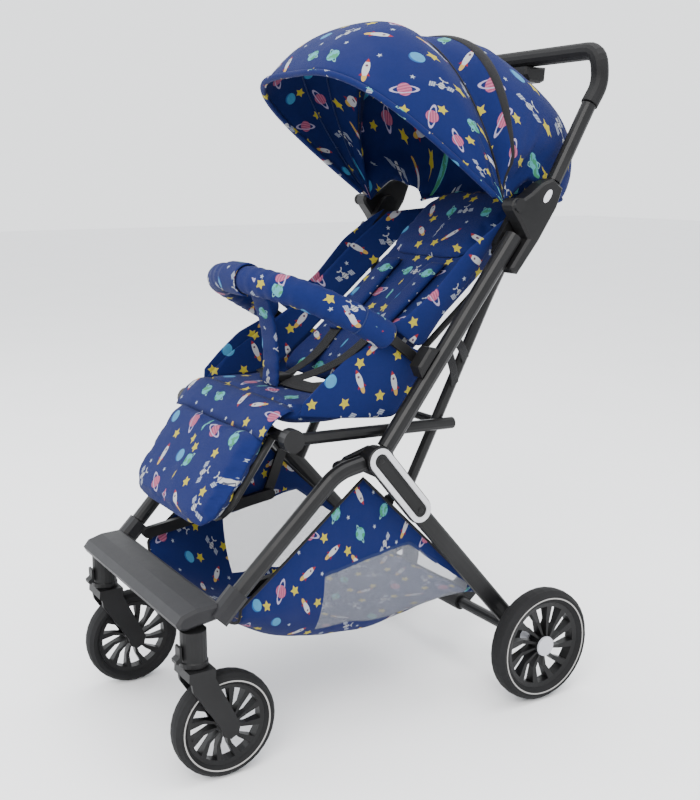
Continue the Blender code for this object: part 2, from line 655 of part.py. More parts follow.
def make_caster(side, sign):
    """Swivelling fork: stem block, crown and two trailing arms with the axle pin."""
    axis = Vector((sign * CASTER_X, CASTER_Y + REAR_AXLE_Y, 0))
    wheel = (CASTER_Y + CASTER_TRAIL, FRONT_WHEEL_R)
    crown = [(CASTER_Y - 0.0170, 0.1650), (CASTER_Y - 0.0180, 0.1530), (CASTER_Y - 0.0150, 0.1500),
             (CASTER_Y + 0.0200, 0.1530), (CASTER_Y + 0.0200, 0.1650)]
    x_in, x_out = CASTER_X - 0.0245, CASTER_X + 0.0245
    obj = add("caster_fork_" + side, prism(crown, (x_in, x_out), sign), "plastic", axis)
    arm = [(CASTER_Y - 0.0150, 0.1575), (CASTER_Y - 0.0120, 0.1380), (wheel[0] - 0.0140, wheel[1] + 0.004),
           (wheel[0] - 0.0110, wheel[1] - 0.0085), (wheel[0], wheel[1] - 0.0140),
           (wheel[0] + 0.0110, wheel[1] - 0.0085), (wheel[0] + 0.0140, wheel[1] + 0.004),
           (CASTER_Y + 0.0290, 0.1310), (CASTER_Y + 0.0170, 0.1575)]
    for near, far in ((x_in + 0.0006, x_in + 0.0062), (x_out - 0.0062, x_out - 0.0006)):
        boolean(obj, "UNION", prism(arm, (near, far), sign))
    pin = disc(point(0, wheel), 0.0050, mirrored((x_in + 0.0040, x_out - 0.0040), sign), steps=14)
    boolean(obj, "UNION", pin)
    centre = point(sign * CASTER_X, wheel)
    make_wheel(("front_tyre_" + side, "front_rim_" + side), FRONT_WHEEL_R, FRONT_WHEEL_WIDTH, centre, 0.0055)


def make_caster_lock(side, sign):
    """Small sliding tab on the front of the caster socket."""
    front = CASTER_Y - 0.0196
    outline = [(front, 0.1760), (front - 0.0080, 0.1745), (front - 0.0085, 0.1790), (front - 0.0030, 0.1830),
               (front - 0.0030, 0.1960), (front, 0.1970)]
    half = 0.0075
    centre = sign * CASTER_X
    return add("caster_lock_" + side, prism(outline, (centre - half, centre + half)), "plastic",
               point(centre, (CASTER_Y, 0.186)))


# ---------------------------------------------------------------- linkage
def make_strut(side, sign):
    """Thin tube from the hub plate up to the foot of the handle housing."""
    stations = ((STRUT_X, STRUT_FOOT), (STRUT_X, (-0.0570, 0.6155)), (0.1685, STRUT_TOP))
    path = [point(sign * x, p) for x, p in stations]
    return add("rear_strut_" + side, tube(rounded(path, 0.02, 3), STRUT_R, 12), "frame", point(0, STRUT_TOP))


def make_brace(side, sign):
    """Flat lever from the footrest bracket back to the knee."""
    outline = stadium((-0.4795, 0.2430), BRACE_KNEE, 0.0085, 5)
    return add("brace_" + side, prism(outline, BRACE_X, sign), "frame", point(0, LEG_BRACKET))


def make_knee_link(side, sign):
    """Short link from the knee up to the rear leg."""
    outline = stadium(KNEE_PIN, BRACE_KNEE, 0.0085, 5)
    return add("knee_link_" + side, prism(outline, LINK_X, sign), "frame", point(0, KNEE_PIN))


# ---------------------------------------------------------------- basket
BASKET_STATIONS = (            # y, rim height, rim half width, floor height, floor half width
    (-0.4750, 0.2250, 0.1625, 0.190, 0.115), (-0.4000, 0.2820, 0.1660, 0.150, 0.118),
    (-0.3300, 0.3400, 0.1665, 0.134, 0.120), (-0.2850, 0.3780, 0.1668, 0.129, 0.120),
    (-0.2300, 0.3190, 0.1668, 0.128, 0.120), (-0.1500, 0.2280, 0.1665, 0.142, 0.118),
    (-0.0750, 0.1700, 0.1660, 0.160, 0.116))


def make_basket():
    """Open hammock with high pointed sides, hung under the seat."""
    rows = []
    for y, rim_z, rim_x, floor_z, floor_x in BASKET_STATIONS:
        side = [(rim_x, rim_z), (rim_x - 0.002, floor_z + 0.42 * (rim_z - floor_z)),
                (floor_x + 0.016, floor_z + 0.10 * (rim_z - floor_z) + 0.004), (floor_x * 0.6, floor_z)]
        row = [point(-x, (y, z)) for x, z in side] + [point(x, (y, z)) for x, z in reversed(side)]
        rows.append(row)
    return add("basket", shell(rows, 0.0025), "fabric", None, 60)


# ---------------------------------------------------------------- assembly
def main():
    for obj in list(bpy.data.objects):
        bpy.data.objects.remove(obj)
    for side, sign in SIDES.items():
        for make in (make_upper_tube, make_fold_hub, make_seat_rail, make_bumper_socket, make_rear_leg,
                     make_hub_plate, make_front_leg, make_caster_socket, make_caster, make_caster_lock,
                     make_strut, make_brace, make_knee_link):
            make(side, sign)
    make_seat_rear_tube()
    make_seat_cushion()
    make_backrest()
    make_calf_rest()
    make_bumper_bar()
    make_crotch_strap()
    make_handle()
    make_canopy()
    make_rear_axle()
    make_brake_pedal()
    make_rear_wheels()
    make_footrest()
    make_basket()


main()
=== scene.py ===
"""The look of a folding baby stroller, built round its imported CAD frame.

The stroller faces -Y and the child's left is +X. Side-view places are (y, z) pairs
with y counted from the rear axle; at() turns them into world coordinates.
"""
import json
import math

import bmesh
import bpy
from mathutils import Matrix, Vector, noise


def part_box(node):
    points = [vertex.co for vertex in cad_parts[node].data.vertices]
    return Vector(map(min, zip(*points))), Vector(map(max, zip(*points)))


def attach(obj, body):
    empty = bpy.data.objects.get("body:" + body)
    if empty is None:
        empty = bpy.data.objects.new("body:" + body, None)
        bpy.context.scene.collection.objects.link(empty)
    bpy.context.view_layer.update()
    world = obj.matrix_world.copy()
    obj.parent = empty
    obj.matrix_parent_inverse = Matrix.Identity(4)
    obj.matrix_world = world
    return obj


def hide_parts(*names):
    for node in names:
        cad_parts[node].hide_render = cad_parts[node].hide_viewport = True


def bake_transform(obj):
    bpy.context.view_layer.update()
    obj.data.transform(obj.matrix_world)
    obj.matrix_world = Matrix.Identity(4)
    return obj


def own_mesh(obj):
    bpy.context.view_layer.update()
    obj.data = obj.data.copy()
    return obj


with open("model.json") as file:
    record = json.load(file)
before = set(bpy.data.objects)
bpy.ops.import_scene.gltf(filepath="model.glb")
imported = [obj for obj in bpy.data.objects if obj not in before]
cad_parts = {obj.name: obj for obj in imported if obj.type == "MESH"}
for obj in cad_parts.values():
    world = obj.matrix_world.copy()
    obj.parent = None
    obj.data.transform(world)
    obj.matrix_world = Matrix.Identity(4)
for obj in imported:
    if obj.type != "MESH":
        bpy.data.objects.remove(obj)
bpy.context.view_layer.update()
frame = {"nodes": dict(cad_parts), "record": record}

NODES = frame["nodes"]
JOINTS = {joint["name"]: joint for joint in frame["record"]["behaviour"]["joints"]}
AXLE_Y = sum(corner[1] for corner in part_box("rear_axle")) / 2
SIDES = {"left": 1, "right": -1}


# ---------------------------------------------------------------- places and numbers
def at(x, yz):
    """World point for a lateral x and a side-view (y, z)."""
    return Vector((x, yz[0] + AXLE_Y, yz[1]))


def pivot(joint):
    """Side-view place of a joint."""
    place = JOINTS[joint]["pos_m"]
    return (place[1] - AXLE_Y, place[2])


def shift(yz, angle_deg, distance):
    a = math.radians(angle_deg)
    return (yz[0] + distance * math.cos(a), yz[1] + distance * math.sin(a))


def direction(start, end):
    return math.degrees(math.atan2(end[1] - start[1], end[0] - start[0]))


def mix(a, b, t):
    return a + (b - a) * t


def smooth(low, high, value):
    t = min(max((value - low) / (high - low), 0.0), 1.0)
    return t * t * (3 - 2 * t)


def curve(keys, t):
    """Smooth value at t through (t, value, value, ...) keys, by Catmull-Rom."""
    if t <= keys[0][0]:
        return keys[0][1:]
    if t >= keys[-1][0]:
        return keys[-1][1:]
    i = max(k for k in range(len(keys) - 1) if keys[k][0] <= t)
    k0, k1, k2, k3 = (keys[min(max(i + d, 0), len(keys) - 1)] for d in (-1, 0, 1, 2))
    span = k2[0] - k1[0]
    u = (t - k1[0]) / span
    result = []
    for a, b, c, d in zip(k0[1:], k1[1:], k2[1:], k3[1:]):
        m1 = (c - a) * span / max(k2[0] - k0[0], 1e-9)
        m2 = (d - b) * span / max(k3[0] - k1[0], 1e-9)
        result.append((2 * u**3 - 3 * u**2 + 1) * b + (u**3 - 2 * u**2 + u) * m1
                      + (-2 * u**3 + 3 * u**2) * c + (u**3 - u**2) * m2)
    return tuple(result)


HUB = pivot("frame_fold")
HANDLE = pivot("handle_fold")
CALF = pivot("calf_tilt")
RECLINE = pivot("backrest_recline")
BUMPER = pivot("bumper_swing")
CANOPY = pivot("canopy_fold")
TUBE_ANGLE = direction(HUB, HANDLE)
BACK_ANGLE = 40.0
CALF_ANGLE = 234.0
BACK_BASE = shift(RECLINE, BACK_ANGLE + 90, 0.0185)   # middle of the backrest pad's lower end


# ---------------------------------------------------------------- shader building
class Graph:
    """Writes math and colour nodes into one node tree."""

    def __init__(self, tree):
        self.tree = tree

    def node(self, kind, **settings):
        made = self.tree.nodes.new(kind)
        for name, value in settings.items():
            setattr(made, name, value)
        return made

    def put(self, value, socket):
        if isinstance(value, bpy.types.NodeSocket):
            self.tree.links.new(value, socket)
        else:
            socket.default_value = value

    def math(self, operation, *values):
        made = self.node("ShaderNodeMath", operation=operation)
        for value, socket in zip(values, made.inputs):
            self.put(value, socket)
        return made.outputs[0]

    def add(self, a, b): return self.math("ADD", a, b)
    def sub(self, a, b): return self.math("SUBTRACT", a, b)
    def mul(self, a, b): return self.math("MULTIPLY", a, b)
    def less(self, a, b): return self.math("LESS_THAN", a, b)
    def more(self, a, b): return self.math("GREATER_THAN", a, b)

    def both(self, *masks):
        result = masks[0]
        for mask in masks[1:]:
            result = self.mul(result, mask)
        return result

    def length(self, x, y):
        return self.math("SQRT", self.add(self.mul(x, x), self.mul(y, y)))

    def blend(self, factor, below, above):
        made = self.node("ShaderNodeMix", data_type="RGBA")
        self.put(factor, made.inputs["Factor"])
        self.put(below, made.inputs["A"])
        self.put(above, made.inputs["B"])
        return made.outputs["Result"]

    def noise(self, vector, scale, detail=2.0, roughness=0.5):
        made = self.node("ShaderNodeTexNoise")
        self.put(vector, made.inputs["Vector"])
        made.inputs["Scale"].default_value = scale
        made.inputs["Detail"].default_value = detail
        made.inputs["Roughness"].default_value = roughness
        return made.outputs["Fac"]

    def ramp(self, factor, low, high, out_low, out_high):
        made = self.node("ShaderNodeMapRange")
        self.put(factor, made.inputs["Value"])
        for name, value in (("From Min", low), ("From Max", high), ("To Min", out_low), ("To Max", out_high)):
            made.inputs[name].default_value = value
        return made.outputs["Result"]

    def bump(self, height, distance, strength=1.0, under=None):
        made = self.node("ShaderNodeBump")
        self.put(height, made.inputs["Height"])
        made.inputs["Distance"].default_value = distance
        made.inputs["Strength"].default_value = strength
        if under is not None:
            self.put(under, made.inputs["Normal"])
        return made.outputs["Normal"]


def rgb(*channels, gain=0.42):
    """Linear colour from 0-255 display values, set for the bright studio."""
    return (*[gain * (((c / 255 + 0.055) / 1.055) ** 2.4 if c > 10 else c / 255 / 12.92) for c in channels], 1.0)


def new_material(name):
    made = bpy.data.materials.new(name)
    made.use_nodes = True
    tree = made.node_tree
    return made, Graph(tree), tree.nodes["Principled BSDF"]


def surface_vector(g):
    return g.node("ShaderNodeTexCoord").outputs["Object"]


def hard_material(name, colour, roughness, metallic=0.0, grain=900.0, grain_depth=0.00004, coat=0.0, vary=0.10):
    """Painted, moulded or rubber surface: faint mottling, uneven gloss and a fine grain."""
    made, g, shader = new_material(name)
    where = surface_vector(g)
    broad = g.noise(where, 14.0, 3.0)
    fine = g.noise(where, grain, 2.0, 0.6)
    dust = g.noise(where, 90.0, 4.0, 0.6)
    lighter = tuple(min(c * (1 + 2.2 * vary) + 0.004, 1.0) for c in colour[:3]) + (1.0,)
    darker = tuple(c * (1 - vary) for c in colour[:3]) + (1.0,)
    tone = g.blend(g.ramp(broad, 0.3, 0.7, 0.0, 1.0), darker, lighter)
    g.put(g.blend(g.ramp(dust, 0.55, 0.80, 0.0, 0.35), tone, lighter), shader.inputs["Base Color"])
    g.put(g.ramp(g.add(broad, g.mul(dust, 0.5)), 0.4, 1.1, roughness - 0.06, roughness + 0.08),
          shader.inputs["Roughness"])
    g.put(g.bump(fine, grain_depth, 0.6), shader.inputs["Normal"])
    shader.inputs["Metallic"].default_value = metallic
    shader.inputs["Coat Weight"].default_value = coat
    shader.inputs["Specular IOR Level"].default_value = 0.20
    return made


def cloth_uv(g):
    """Cloth coordinates in metres, whole and as separate sockets."""
    where = g.node("ShaderNodeUVMap", uv_map="cloth").outputs["UV"]
    split = g.node("ShaderNodeSeparateXYZ")
    g.put(where, split.inputs[0])
    return where, split.outputs["X"], split.outputs["Y"]


def weave_height(g, u, v, pitch):
    """Plain weave: warp and weft threads passing over and under."""
    k = 2 * math.pi / pitch
    warp = g.math("SINE", g.mul(u, k))
    weft = g.math("SINE", g.mul(v, k))
    return g.mul(g.add(g.math("ABSOLUTE", warp), g.math("ABSOLUTE", weft)), 0.5)


def fabric_material(name, colour, pitch=0.0009, depth=0.00018, roughness=0.85, sheen=0.2, crease=0.0012):
    """Plain woven or knitted cloth in one colour, with threads and soft creases."""
    made, g, shader = new_material(name)
    where, u, v = cloth_uv(g)
    threads = weave_height(g, u, v, pitch)
    soft = g.noise(where, 26.0, 3.0)
    slub = g.noise(where, 420.0, 2.0)
    light = tuple(min(c * 1.5 + 0.006, 1.0) for c in colour[:3]) + (1.0,)
    dark = tuple(c * 0.75 for c in colour[:3]) + (1.0,)
    tone = g.blend(g.ramp(g.add(threads, g.mul(slub, 0.6)), 0.4, 1.4, 0.0, 1.0), dark, light)
    g.put(tone, shader.inputs["Base Color"])
    g.put(g.ramp(soft, 0.3, 0.7, roughness - 0.06, roughness + 0.06), shader.inputs["Roughness"])
    g.put(g.bump(threads, depth, 0.8, g.bump(soft, crease, 0.6)), shader.inputs["Normal"])
    shader.inputs["Sheen Weight"].default_value = sheen * 0.15
    shader.inputs["Specular IOR Level"].default_value = 0.15
    return made


# ---------------------------------------------------------------- printed cloth
SPACING = 0.054                # of each of the print's two lattices of motifs


def print_cell(g, u, v, offset):
    """Cell coordinates of one lattice: local x and y in metres, and three random numbers."""
    row_at = g.add(g.mul(v, 1 / SPACING), offset)
    row = g.math("FLOOR", row_at)
    half = g.math("FRACT", g.mul(row, 0.5))
    column_at = g.add(g.add(g.mul(u, 1 / SPACING), half), offset)
    column = g.math("FLOOR", column_at)
    join = g.node("ShaderNodeCombineXYZ")
    g.put(column, join.inputs["X"])
    g.put(row, join.inputs["Y"])
    join.inputs["Z"].default_value = offset * 7
    chance = g.node("ShaderNodeTexWhiteNoise", noise_dimensions="3D")
    g.put(join.outputs[0], chance.inputs["Vector"])
    split = g.node("ShaderNodeSeparateColor")
    g.put(chance.outputs["Color"], split.inputs[0])
    first, second, third = split.outputs[:3]
    x = g.mul(g.add(g.sub(g.math("FRACT", column_at), 0.5), g.mul(g.sub(second, 0.5), 0.22)), SPACING)
    y = g.mul(g.add(g.sub(g.math("FRACT", row_at), 0.5), g.mul(g.sub(third, 0.5), 0.22)), SPACING)
    turn = g.mul(g.sub(g.math("FRACT", g.mul(third, 7.31)), 0.5), 2.6)
    c, s = g.math("COSINE", turn), g.math("SINE", turn)
    return g.add(g.mul(x, c), g.mul(y, s)), g.sub(g.mul(y, c), g.mul(x, s)), first


def ellipse(g, x, y, a, b, x0=0.0, y0=0.0):
    """How far out a point is from an ellipse's centre, 1 on its line."""
    return g.length(g.mul(g.sub(x, x0), 1 / a), g.mul(g.sub(y, y0), 1 / b))


def outline(g, distance, half):
    """Mask of a line of about the given half width on distance 1."""
    return g.less(g.math("ABSOLUTE", g.sub(distance, 1.0)), half)


def star_mask(g, x, y, tip, inner):
    step = 2 * math.pi / 5
    angle = g.math("ARCTAN2", x, y)
    folded = g.math("ABSOLUTE", g.sub(g.math("FLOORED_MODULO", g.add(angle, step / 2), step), step / 2))
    radius = g.length(x, y)
    nx, ny = inner * math.sin(step / 2), tip - inner * math.cos(step / 2)
    edge = g.add(g.mul(g.mul(radius, g.math("COSINE", folded)), nx), g.mul(g.mul(radius, g.math("SINE", folded)), ny))
    return g.less(edge, tip * inner * math.sin(step / 2))


def build_print():
    """Node group: cloth u and v in metres give the colour of a generic space print."""
    group = bpy.data.node_groups.new("space_print", "ShaderNodeTree")
    group.interface.new_socket("U", in_out="INPUT", socket_type="NodeSocketFloat")
    group.interface.new_socket("V", in_out="INPUT", socket_type="NodeSocketFloat")
    group.interface.new_socket("Colour", in_out="OUTPUT", socket_type="NodeSocketColor")
    g = Graph(group)
    source = g.node("NodeGroupInput")
    u, v = source.outputs["U"], source.outputs["V"]
    colour = rgb(32, 50, 128, gain=0.33)
    x, y, kind = print_cell(g, u, v, 0.0)

    def chosen(low, high):
        return g.mul(g.more(kind, low), g.less(kind, high))

    def paint(*masks, tone):
        nonlocal colour
        colour = g.blend(g.both(*masks), colour, rgb(*tone))

    # ringed planet
    on = chosen(0.0, 0.22)
    ball = g.less(ellipse(g, x, y, 0.0098, 0.0098), 1.0)
    bands = g.more(g.math("SINE", g.mul(g.add(y, g.mul(x, 0.2)), 1500.0)), 0.1)
    ring = outline(g, ellipse(g, x, y, 0.0180, 0.0052), 0.13)
    behind = g.mul(ball, g.more(y, 0.0))
    ring = g.mul(ring, g.sub(1.0, behind))
    paint(on, ball, tone=(222, 128, 160))
    paint(on, ball, bands, tone=(186, 92, 132))
    paint(on, ring, tone=(206, 196, 232))
    # globe with land
    on = chosen(0.22, 0.36)
    ball = g.less(ellipse(g, x, y, 0.0100, 0.0092), 1.0)
    join = g.node("ShaderNodeCombineXYZ")
    g.put(u, join.inputs["X"])
    g.put(v, join.inputs["Y"])
    land = g.more(g.noise(join.outputs[0], 130.0, 2.0), 0.52)
    orbit = outline(g, ellipse(g, x, y, 0.0150, 0.0030), 0.10)
    paint(on, orbit, tone=(150, 215, 205))
    paint(on, ball, tone=(112, 204, 216))
    paint(on, ball, land, tone=(84, 176, 132))
    # blue moon
    on = chosen(0.36, 0.48)
    ball = g.less(ellipse(g, x, y, 0.0098, 0.0098), 1.0)
    night = g.more(ellipse(g, x, y, 0.0105, 0.0105, 0.0030, 0.0022), 1.0)
    paint(on, ball, tone=(92, 176, 226))
    paint(on, ball, night, tone=(52, 116, 190))
    # rocket
    on = chosen(0.48, 0.74)
    taper = g.sub(0.0047, g.mul(g.mul(g.add(y, 0.001), g.add(y, 0.001)), 17.0))
    body = g.less(g.math("ABSOLUTE", x), taper)
    low = g.mul(g.less(y, -0.0050), g.more(y, -0.0125))
    fins = g.mul(low, g.less(g.math("ABSOLUTE", x), g.add(0.0024, g.mul(g.sub(-0.0050, y), 0.62))))
    flame = g.less(ellipse(g, x, y, 0.0032, 0.0070, 0.0, -0.0145), 1.0)
    nose = g.mul(body, g.more(y, 0.0098))
    port = g.less(ellipse(g, x, y, 0.0019, 0.0019, 0.0, 0.0040), 1.0)
    paint(on, flame, tone=(240, 196, 96))
    paint(on, fins, tone=(176, 40, 44))
    paint(on, body, g.more(y, -0.0125), tone=(230, 232, 238))
    paint(on, nose, tone=(196, 60, 58))
    paint(on, port, tone=(120, 90, 110))
    # small satellite, drawn in pale lines
    on = g.more(kind, 0.74)
    pod = g.less(ellipse(g, x, y, 0.0042, 0.0060), 1.0)
    belt = g.less(g.math("ABSOLUTE", g.sub(g.math("ABSOLUTE", y), 0.0022)), 0.0005)
    arm_at = g.math("ABSOLUTE", g.add(y, g.mul(x, 0.35)))
    away = g.math("ABSOLUTE", x)
    arm = g.mul(g.less(arm_at, 0.0007), g.less(away, 0.0150))
    panel = g.mul(g.less(arm_at, 0.0044), g.less(g.math("ABSOLUTE", g.sub(away, 0.0112)), 0.0040))
    cells = g.less(g.math("ABSOLUTE", g.sub(g.math("FLOORED_MODULO", g.add(away, 0.0004), 0.0027), 0.0013)), 0.0009)
    mast = g.both(g.less(away, 0.0006), g.more(y, 0.0050), g.less(y, 0.0120))
    dish = g.mul(outline(g, ellipse(g, x, y, 0.0050, 0.0034, 0.0, 0.0140), 0.22), g.less(y, 0.0142))
    paint(on, g.math("MINIMUM", g.add(g.add(arm, mast), dish), 1.0), tone=(214, 218, 224))
    paint(on, panel, tone=(118, 132, 170))
    paint(on, panel, cells, tone=(196, 204, 222))
    paint(on, pod, tone=(222, 224, 228))
    paint(on, pod, belt, tone=(96, 100, 120))
    # stars on the second lattice
    x, y, kind = print_cell(g, u, v, 0.5)
    star = star_mask(g, x, y, 0.0088, 0.0046)
    paint(star, g.less(kind, 0.70), tone=(232, 214, 72))
    spark = star_mask(g, x, y, 0.0040, 0.0016)
    paint(spark, g.more(kind, 0.70), tone=(206, 218, 232))
    g.put(colour, g.node("NodeGroupOutput").inputs["Colour"])
    return group


PRINT = build_print()


def print_material(name, tint=(1, 1, 1, 1), roughness=0.78, crease=0.0012, alpha=1.0):
    """Woven cloth carrying the print."""
    made, g, shader = new_material(name)
    where, u, v = cloth_uv(g)
    picture = g.node("ShaderNodeGroup", node_tree=PRINT)
    g.put(u, picture.inputs["U"])
    g.put(v, picture.inputs["V"])
    threads = weave_height(g, u, v, 0.0008)
    soft = g.noise(where, 22.0, 3.0)
    slub = g.noise(where, 260.0, 3.0)
    toned = g.node("ShaderNodeMix", data_type="RGBA", blend_type="MULTIPLY")
    toned.inputs["Factor"].default_value = 1.0
    g.put(picture.outputs["Colour"], toned.inputs["A"])
    g.put(g.blend(g.ramp(g.add(g.mul(slub, 0.7), g.mul(threads, 0.3)), 0.3, 0.8, 0.0, 1.0),
                  tuple(c * 0.82 for c in tint[:3]) + (1.0,), tint), toned.inputs["B"])
    g.put(toned.outputs["Result"], shader.inputs["Base Color"])
    g.put(g.ramp(soft, 0.3, 0.7, roughness - 0.07, roughness + 0.07), shader.inputs["Roughness"])
    g.put(g.bump(threads, 0.00012, 0.6, g.bump(soft, crease, 0.7)), shader.inputs["Normal"])
    shader.inputs["Sheen Weight"].default_value = 0.02
    shader.inputs["Specular IOR Level"].default_value = 0.10
    shader.inputs["Alpha"].default_value = alpha
    return made


def mesh_material(name):
    """Open net: fine holes between grey threads."""
    made, g, shader = new_material(name)
    where, u, v = cloth_uv(g)
    k = 2 * math.pi / 0.0022
    threads = g.math("MAXIMUM", g.math("ABSOLUTE", g.math("SINE", g.mul(g.add(u, v), k / 2))),
                     g.math("ABSOLUTE", g.math("SINE", g.mul(g.sub(u, v), k / 2))))
    g.put(g.ramp(threads, 0.70, 0.90, 0.12, 0.55), shader.inputs["Alpha"])
    g.put(g.blend(g.noise(where, 60.0), rgb(150, 154, 170), rgb(184, 188, 200)), shader.inputs["Base Color"])
    g.put(g.bump(threads, 0.0002, 0.6), shader.inputs["Normal"])
    shader.inputs["Roughness"].default_value = 0.7
    return made


MAT = {
    "frame": hard_material("frame_paint", rgb(22, 22, 24), 0.38, 0.0, 700.0, 0.00003, 0.04),
    "plastic": hard_material("black_plastic", rgb(20, 20, 22), 0.48, 0.0, 1500.0, 0.00006),
    "footrest": hard_material("footrest_plastic", rgb(36, 36, 40), 0.46, 0.0, 1300.0, 0.00007),
    "tyre": hard_material("tyre_foam", rgb(26, 26, 28), 0.78, 0.0, 520.0, 0.00012, 0.0, 0.16),
    "rim": hard_material("rim_plastic", rgb(16, 16, 18), 0.40, 0.0, 1500.0, 0.00004),
    "cap": hard_material("cap_silver", rgb(196, 197, 204, gain=0.75), 0.34, 0.25, 900.0, 0.00003, 0.2, 0.04),
    "trim": hard_material("trim_silver", rgb(208, 208, 212, gain=0.75), 0.30, 0.30, 900.0, 0.00002, 0.3, 0.04),
    "stripe": hard_material("wheel_stripe", rgb(176, 174, 172, gain=0.6), 0.55, 0.0, 900.0, 0.00003, 0.0, 0.05),
    "white": hard_material("badge_white", rgb(222, 222, 226, gain=0.75), 0.40, 0.0, 900.0, 0.00002, 0.1, 0.03),
    "button": hard_material("button_grey", rgb(112, 112, 116), 0.45, 0.0, 1200.0, 0.00004),
    "grip": hard_material("grip_foam", rgb(25, 25, 27), 0.62, 0.0, 380.0, 0.00025, 0.0, 0.14),
    "steel": hard_material("wire_steel", rgb(120, 120, 124), 0.35, 0.8, 700.0, 0.00002),
    "print": print_material("print_cloth"),
    "binding": fabric_material("black_binding", rgb(32, 32, 36), 0.0012, 0.0002, 0.75, 0.15),
    "blue": fabric_material("blue_piping", rgb(30, 48, 104), 0.0010, 0.0002, 0.8, 0.2),
    "webbing": fabric_material("black_webbing", rgb(30, 30, 33), 0.0016, 0.0004, 0.72, 0.15),
    "lining": fabric_material("black_lining", rgb(26, 27, 34), 0.0010, 0.0002, 0.88, 0.2),
    "net": mesh_material("basket_net"),
}

CAD_LOOKS = (
    ("frame", ("upper_tube", "front_leg", "rear_leg", "rear_strut", "handle_tube", "seat_rail", "brace", "knee_link",
               "seat_rear_tube", "rear_axle", "backrest_frame", "calf_frame", "canopy_front_bow")),
    ("plastic", ("fold_hub", "hub_plate", "bumper_socket", "caster_socket", "caster_fork", "caster_lock",
                 "handle_housing", "canopy_pivot", "control_box", "brake_pedal")),
    ("footrest", ("footrest",)), ("tyre", ("front_tyre", "rear_tyre")), ("rim", ("front_rim", "rear_rim")),
    ("cap", ("rear_axle_bolt",)), ("button", ("fold_button",)), ("grip", ("handle_grip",)))


def dress_cad():
    """Give every carried-over CAD node its finished material."""
    for look, prefixes in CAD_LOOKS:
        for name, obj in NODES.items():
            if name.startswith(prefixes):
                for slot in obj.material_slots:
                    slot.link = "OBJECT"
                    slot.material = MAT[look]


# ---------------------------------------------------------------- mesh building
def finish_piece(name, bm, look, body, crease_deg=50, smooth_it=True):
    bmesh.ops.recalc_face_normals(bm, faces=bm.faces)
    mesh = bpy.data.meshes.new(name)
    bm.to_mesh(mesh)
    bm.free()
    if smooth_it:
        mesh.shade_smooth()
        mesh.set_sharp_from_angle(angle=math.radians(crease_deg))
    obj = bpy.data.objects.new(name, mesh)
    bpy.context.scene.collection.objects.link(obj)
    for each in (look if isinstance(look, (list, tuple)) else [look]):
        mesh.materials.append(MAT[each])
    if body:
        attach(obj, body)
    return obj


def run_lengths(points):
    """Distance along a path at each of its points."""
    lengths = [0.0]
    for a, b in zip(points, points[1:]):
        lengths.append(lengths[-1] + (b - a).length)
    return lengths


def printed(name, bm, body=None):
    """A finished piece of the printed cloth."""
    return finish_piece(name, bm, "print", body, 80)


def sheet_mesh(rows, uv=None, around=False, caps=False):
    """A grid of points as a bmesh with cloth coordinates in metres from its arc lengths."""
    bm = bmesh.new()
    layer = bm.loops.layers.uv.new("cloth")
    grid = [[bm.verts.new(p) for p in row] for row in rows]
    count = len(rows[0])
    if uv is None:
        along = [0.0]
        for lower, upper in zip(rows, rows[1:]):
            along.append(along[-1] + max((upper[i] - lower[i]).length for i in range(count)))
        uv = []
        for j, row in enumerate(rows):
            across = run_lengths([*row, row[0]] if around else row)
            middle = across[-1] / 2
            uv.append([(value - middle, along[j]) for value in across])
    for j in range(len(rows) - 1):
        for i in range(count if around else count - 1):
            k = (i + 1) % count
            face = bm.faces.new((grid[j][i], grid[j][k], grid[j + 1][k], grid[j + 1][i]))
            places = ((j, i), (j, i + 1), (j + 1, i + 1), (j + 1, i))
            for loop, (row, column) in zip(face.loops, places):
                loop[layer].uv = uv[row][min(column, len(uv[row]) - 1)]
    if caps:
        for end, ring in ((0, list(reversed(grid[0]))), (-1, grid[-1])):
            face = bm.faces.new(ring)
            for loop in face.loops:
                loop[layer].uv = (loop.vert.co.x, loop.vert.co.y + loop.vert.co.z)
    return bm


def path_frames(points, first_side=None):
    """Tangent, side and up along a path, carried without twist."""
    result = []
    side = first_side
    for i in range(len(points)):
        tangent = (points[min(i + 1, len(points) - 1)] - points[max(i - 1, 0)]).normalized()
        if side is None:
            side = Vector((1, 0, 0)) if abs(tangent.x) < 0.9 else Vector((0, 1, 0))
        side = (side - tangent * side.dot(tangent)).normalized()
        result.append((tangent, side, tangent.cross(side)))
    return result


def sweep(points, sizes, sides=16, power=2.0, caps=True, first_side=None):
    """Rings along a path; a size is (half width, half height)."""
    if not isinstance(sizes, list):
        sizes = [sizes] * len(points)
    rows = []
    for where, (_, side, up), size in zip(points, path_frames(points, first_side), sizes):
        row = []
        for i in range(sides):
            a = 2 * math.pi * i / sides
            c, s = math.cos(a), math.sin(a)
            row.append(where + side * (math.copysign(abs(c) ** (2 / power), c) * size[0])
                       + up * (math.copysign(abs(s) ** (2 / power), s) * size[1]))
        rows.append(row)
    return sheet_mesh(rows, around=True, caps=caps)


def rounded(points, radius, steps=6):
    """The same path with its inner corners turned into arcs."""
    path = [points[0]]
    for before, corner, after in zip(points, points[1:], points[2:]):
        into, out = before - corner, after - corner
        reach = min(radius, 0.49 * into.length, 0.49 * out.length)
        start, end = corner + into.normalized() * reach, corner + out.normalized() * reach
        for i in range(steps + 1):
            t = i / steps
            path.append(start * (1 - t) ** 2 + corner * 2 * t * (1 - t) + end * t ** 2)
    path.append(points[-1])
    return path


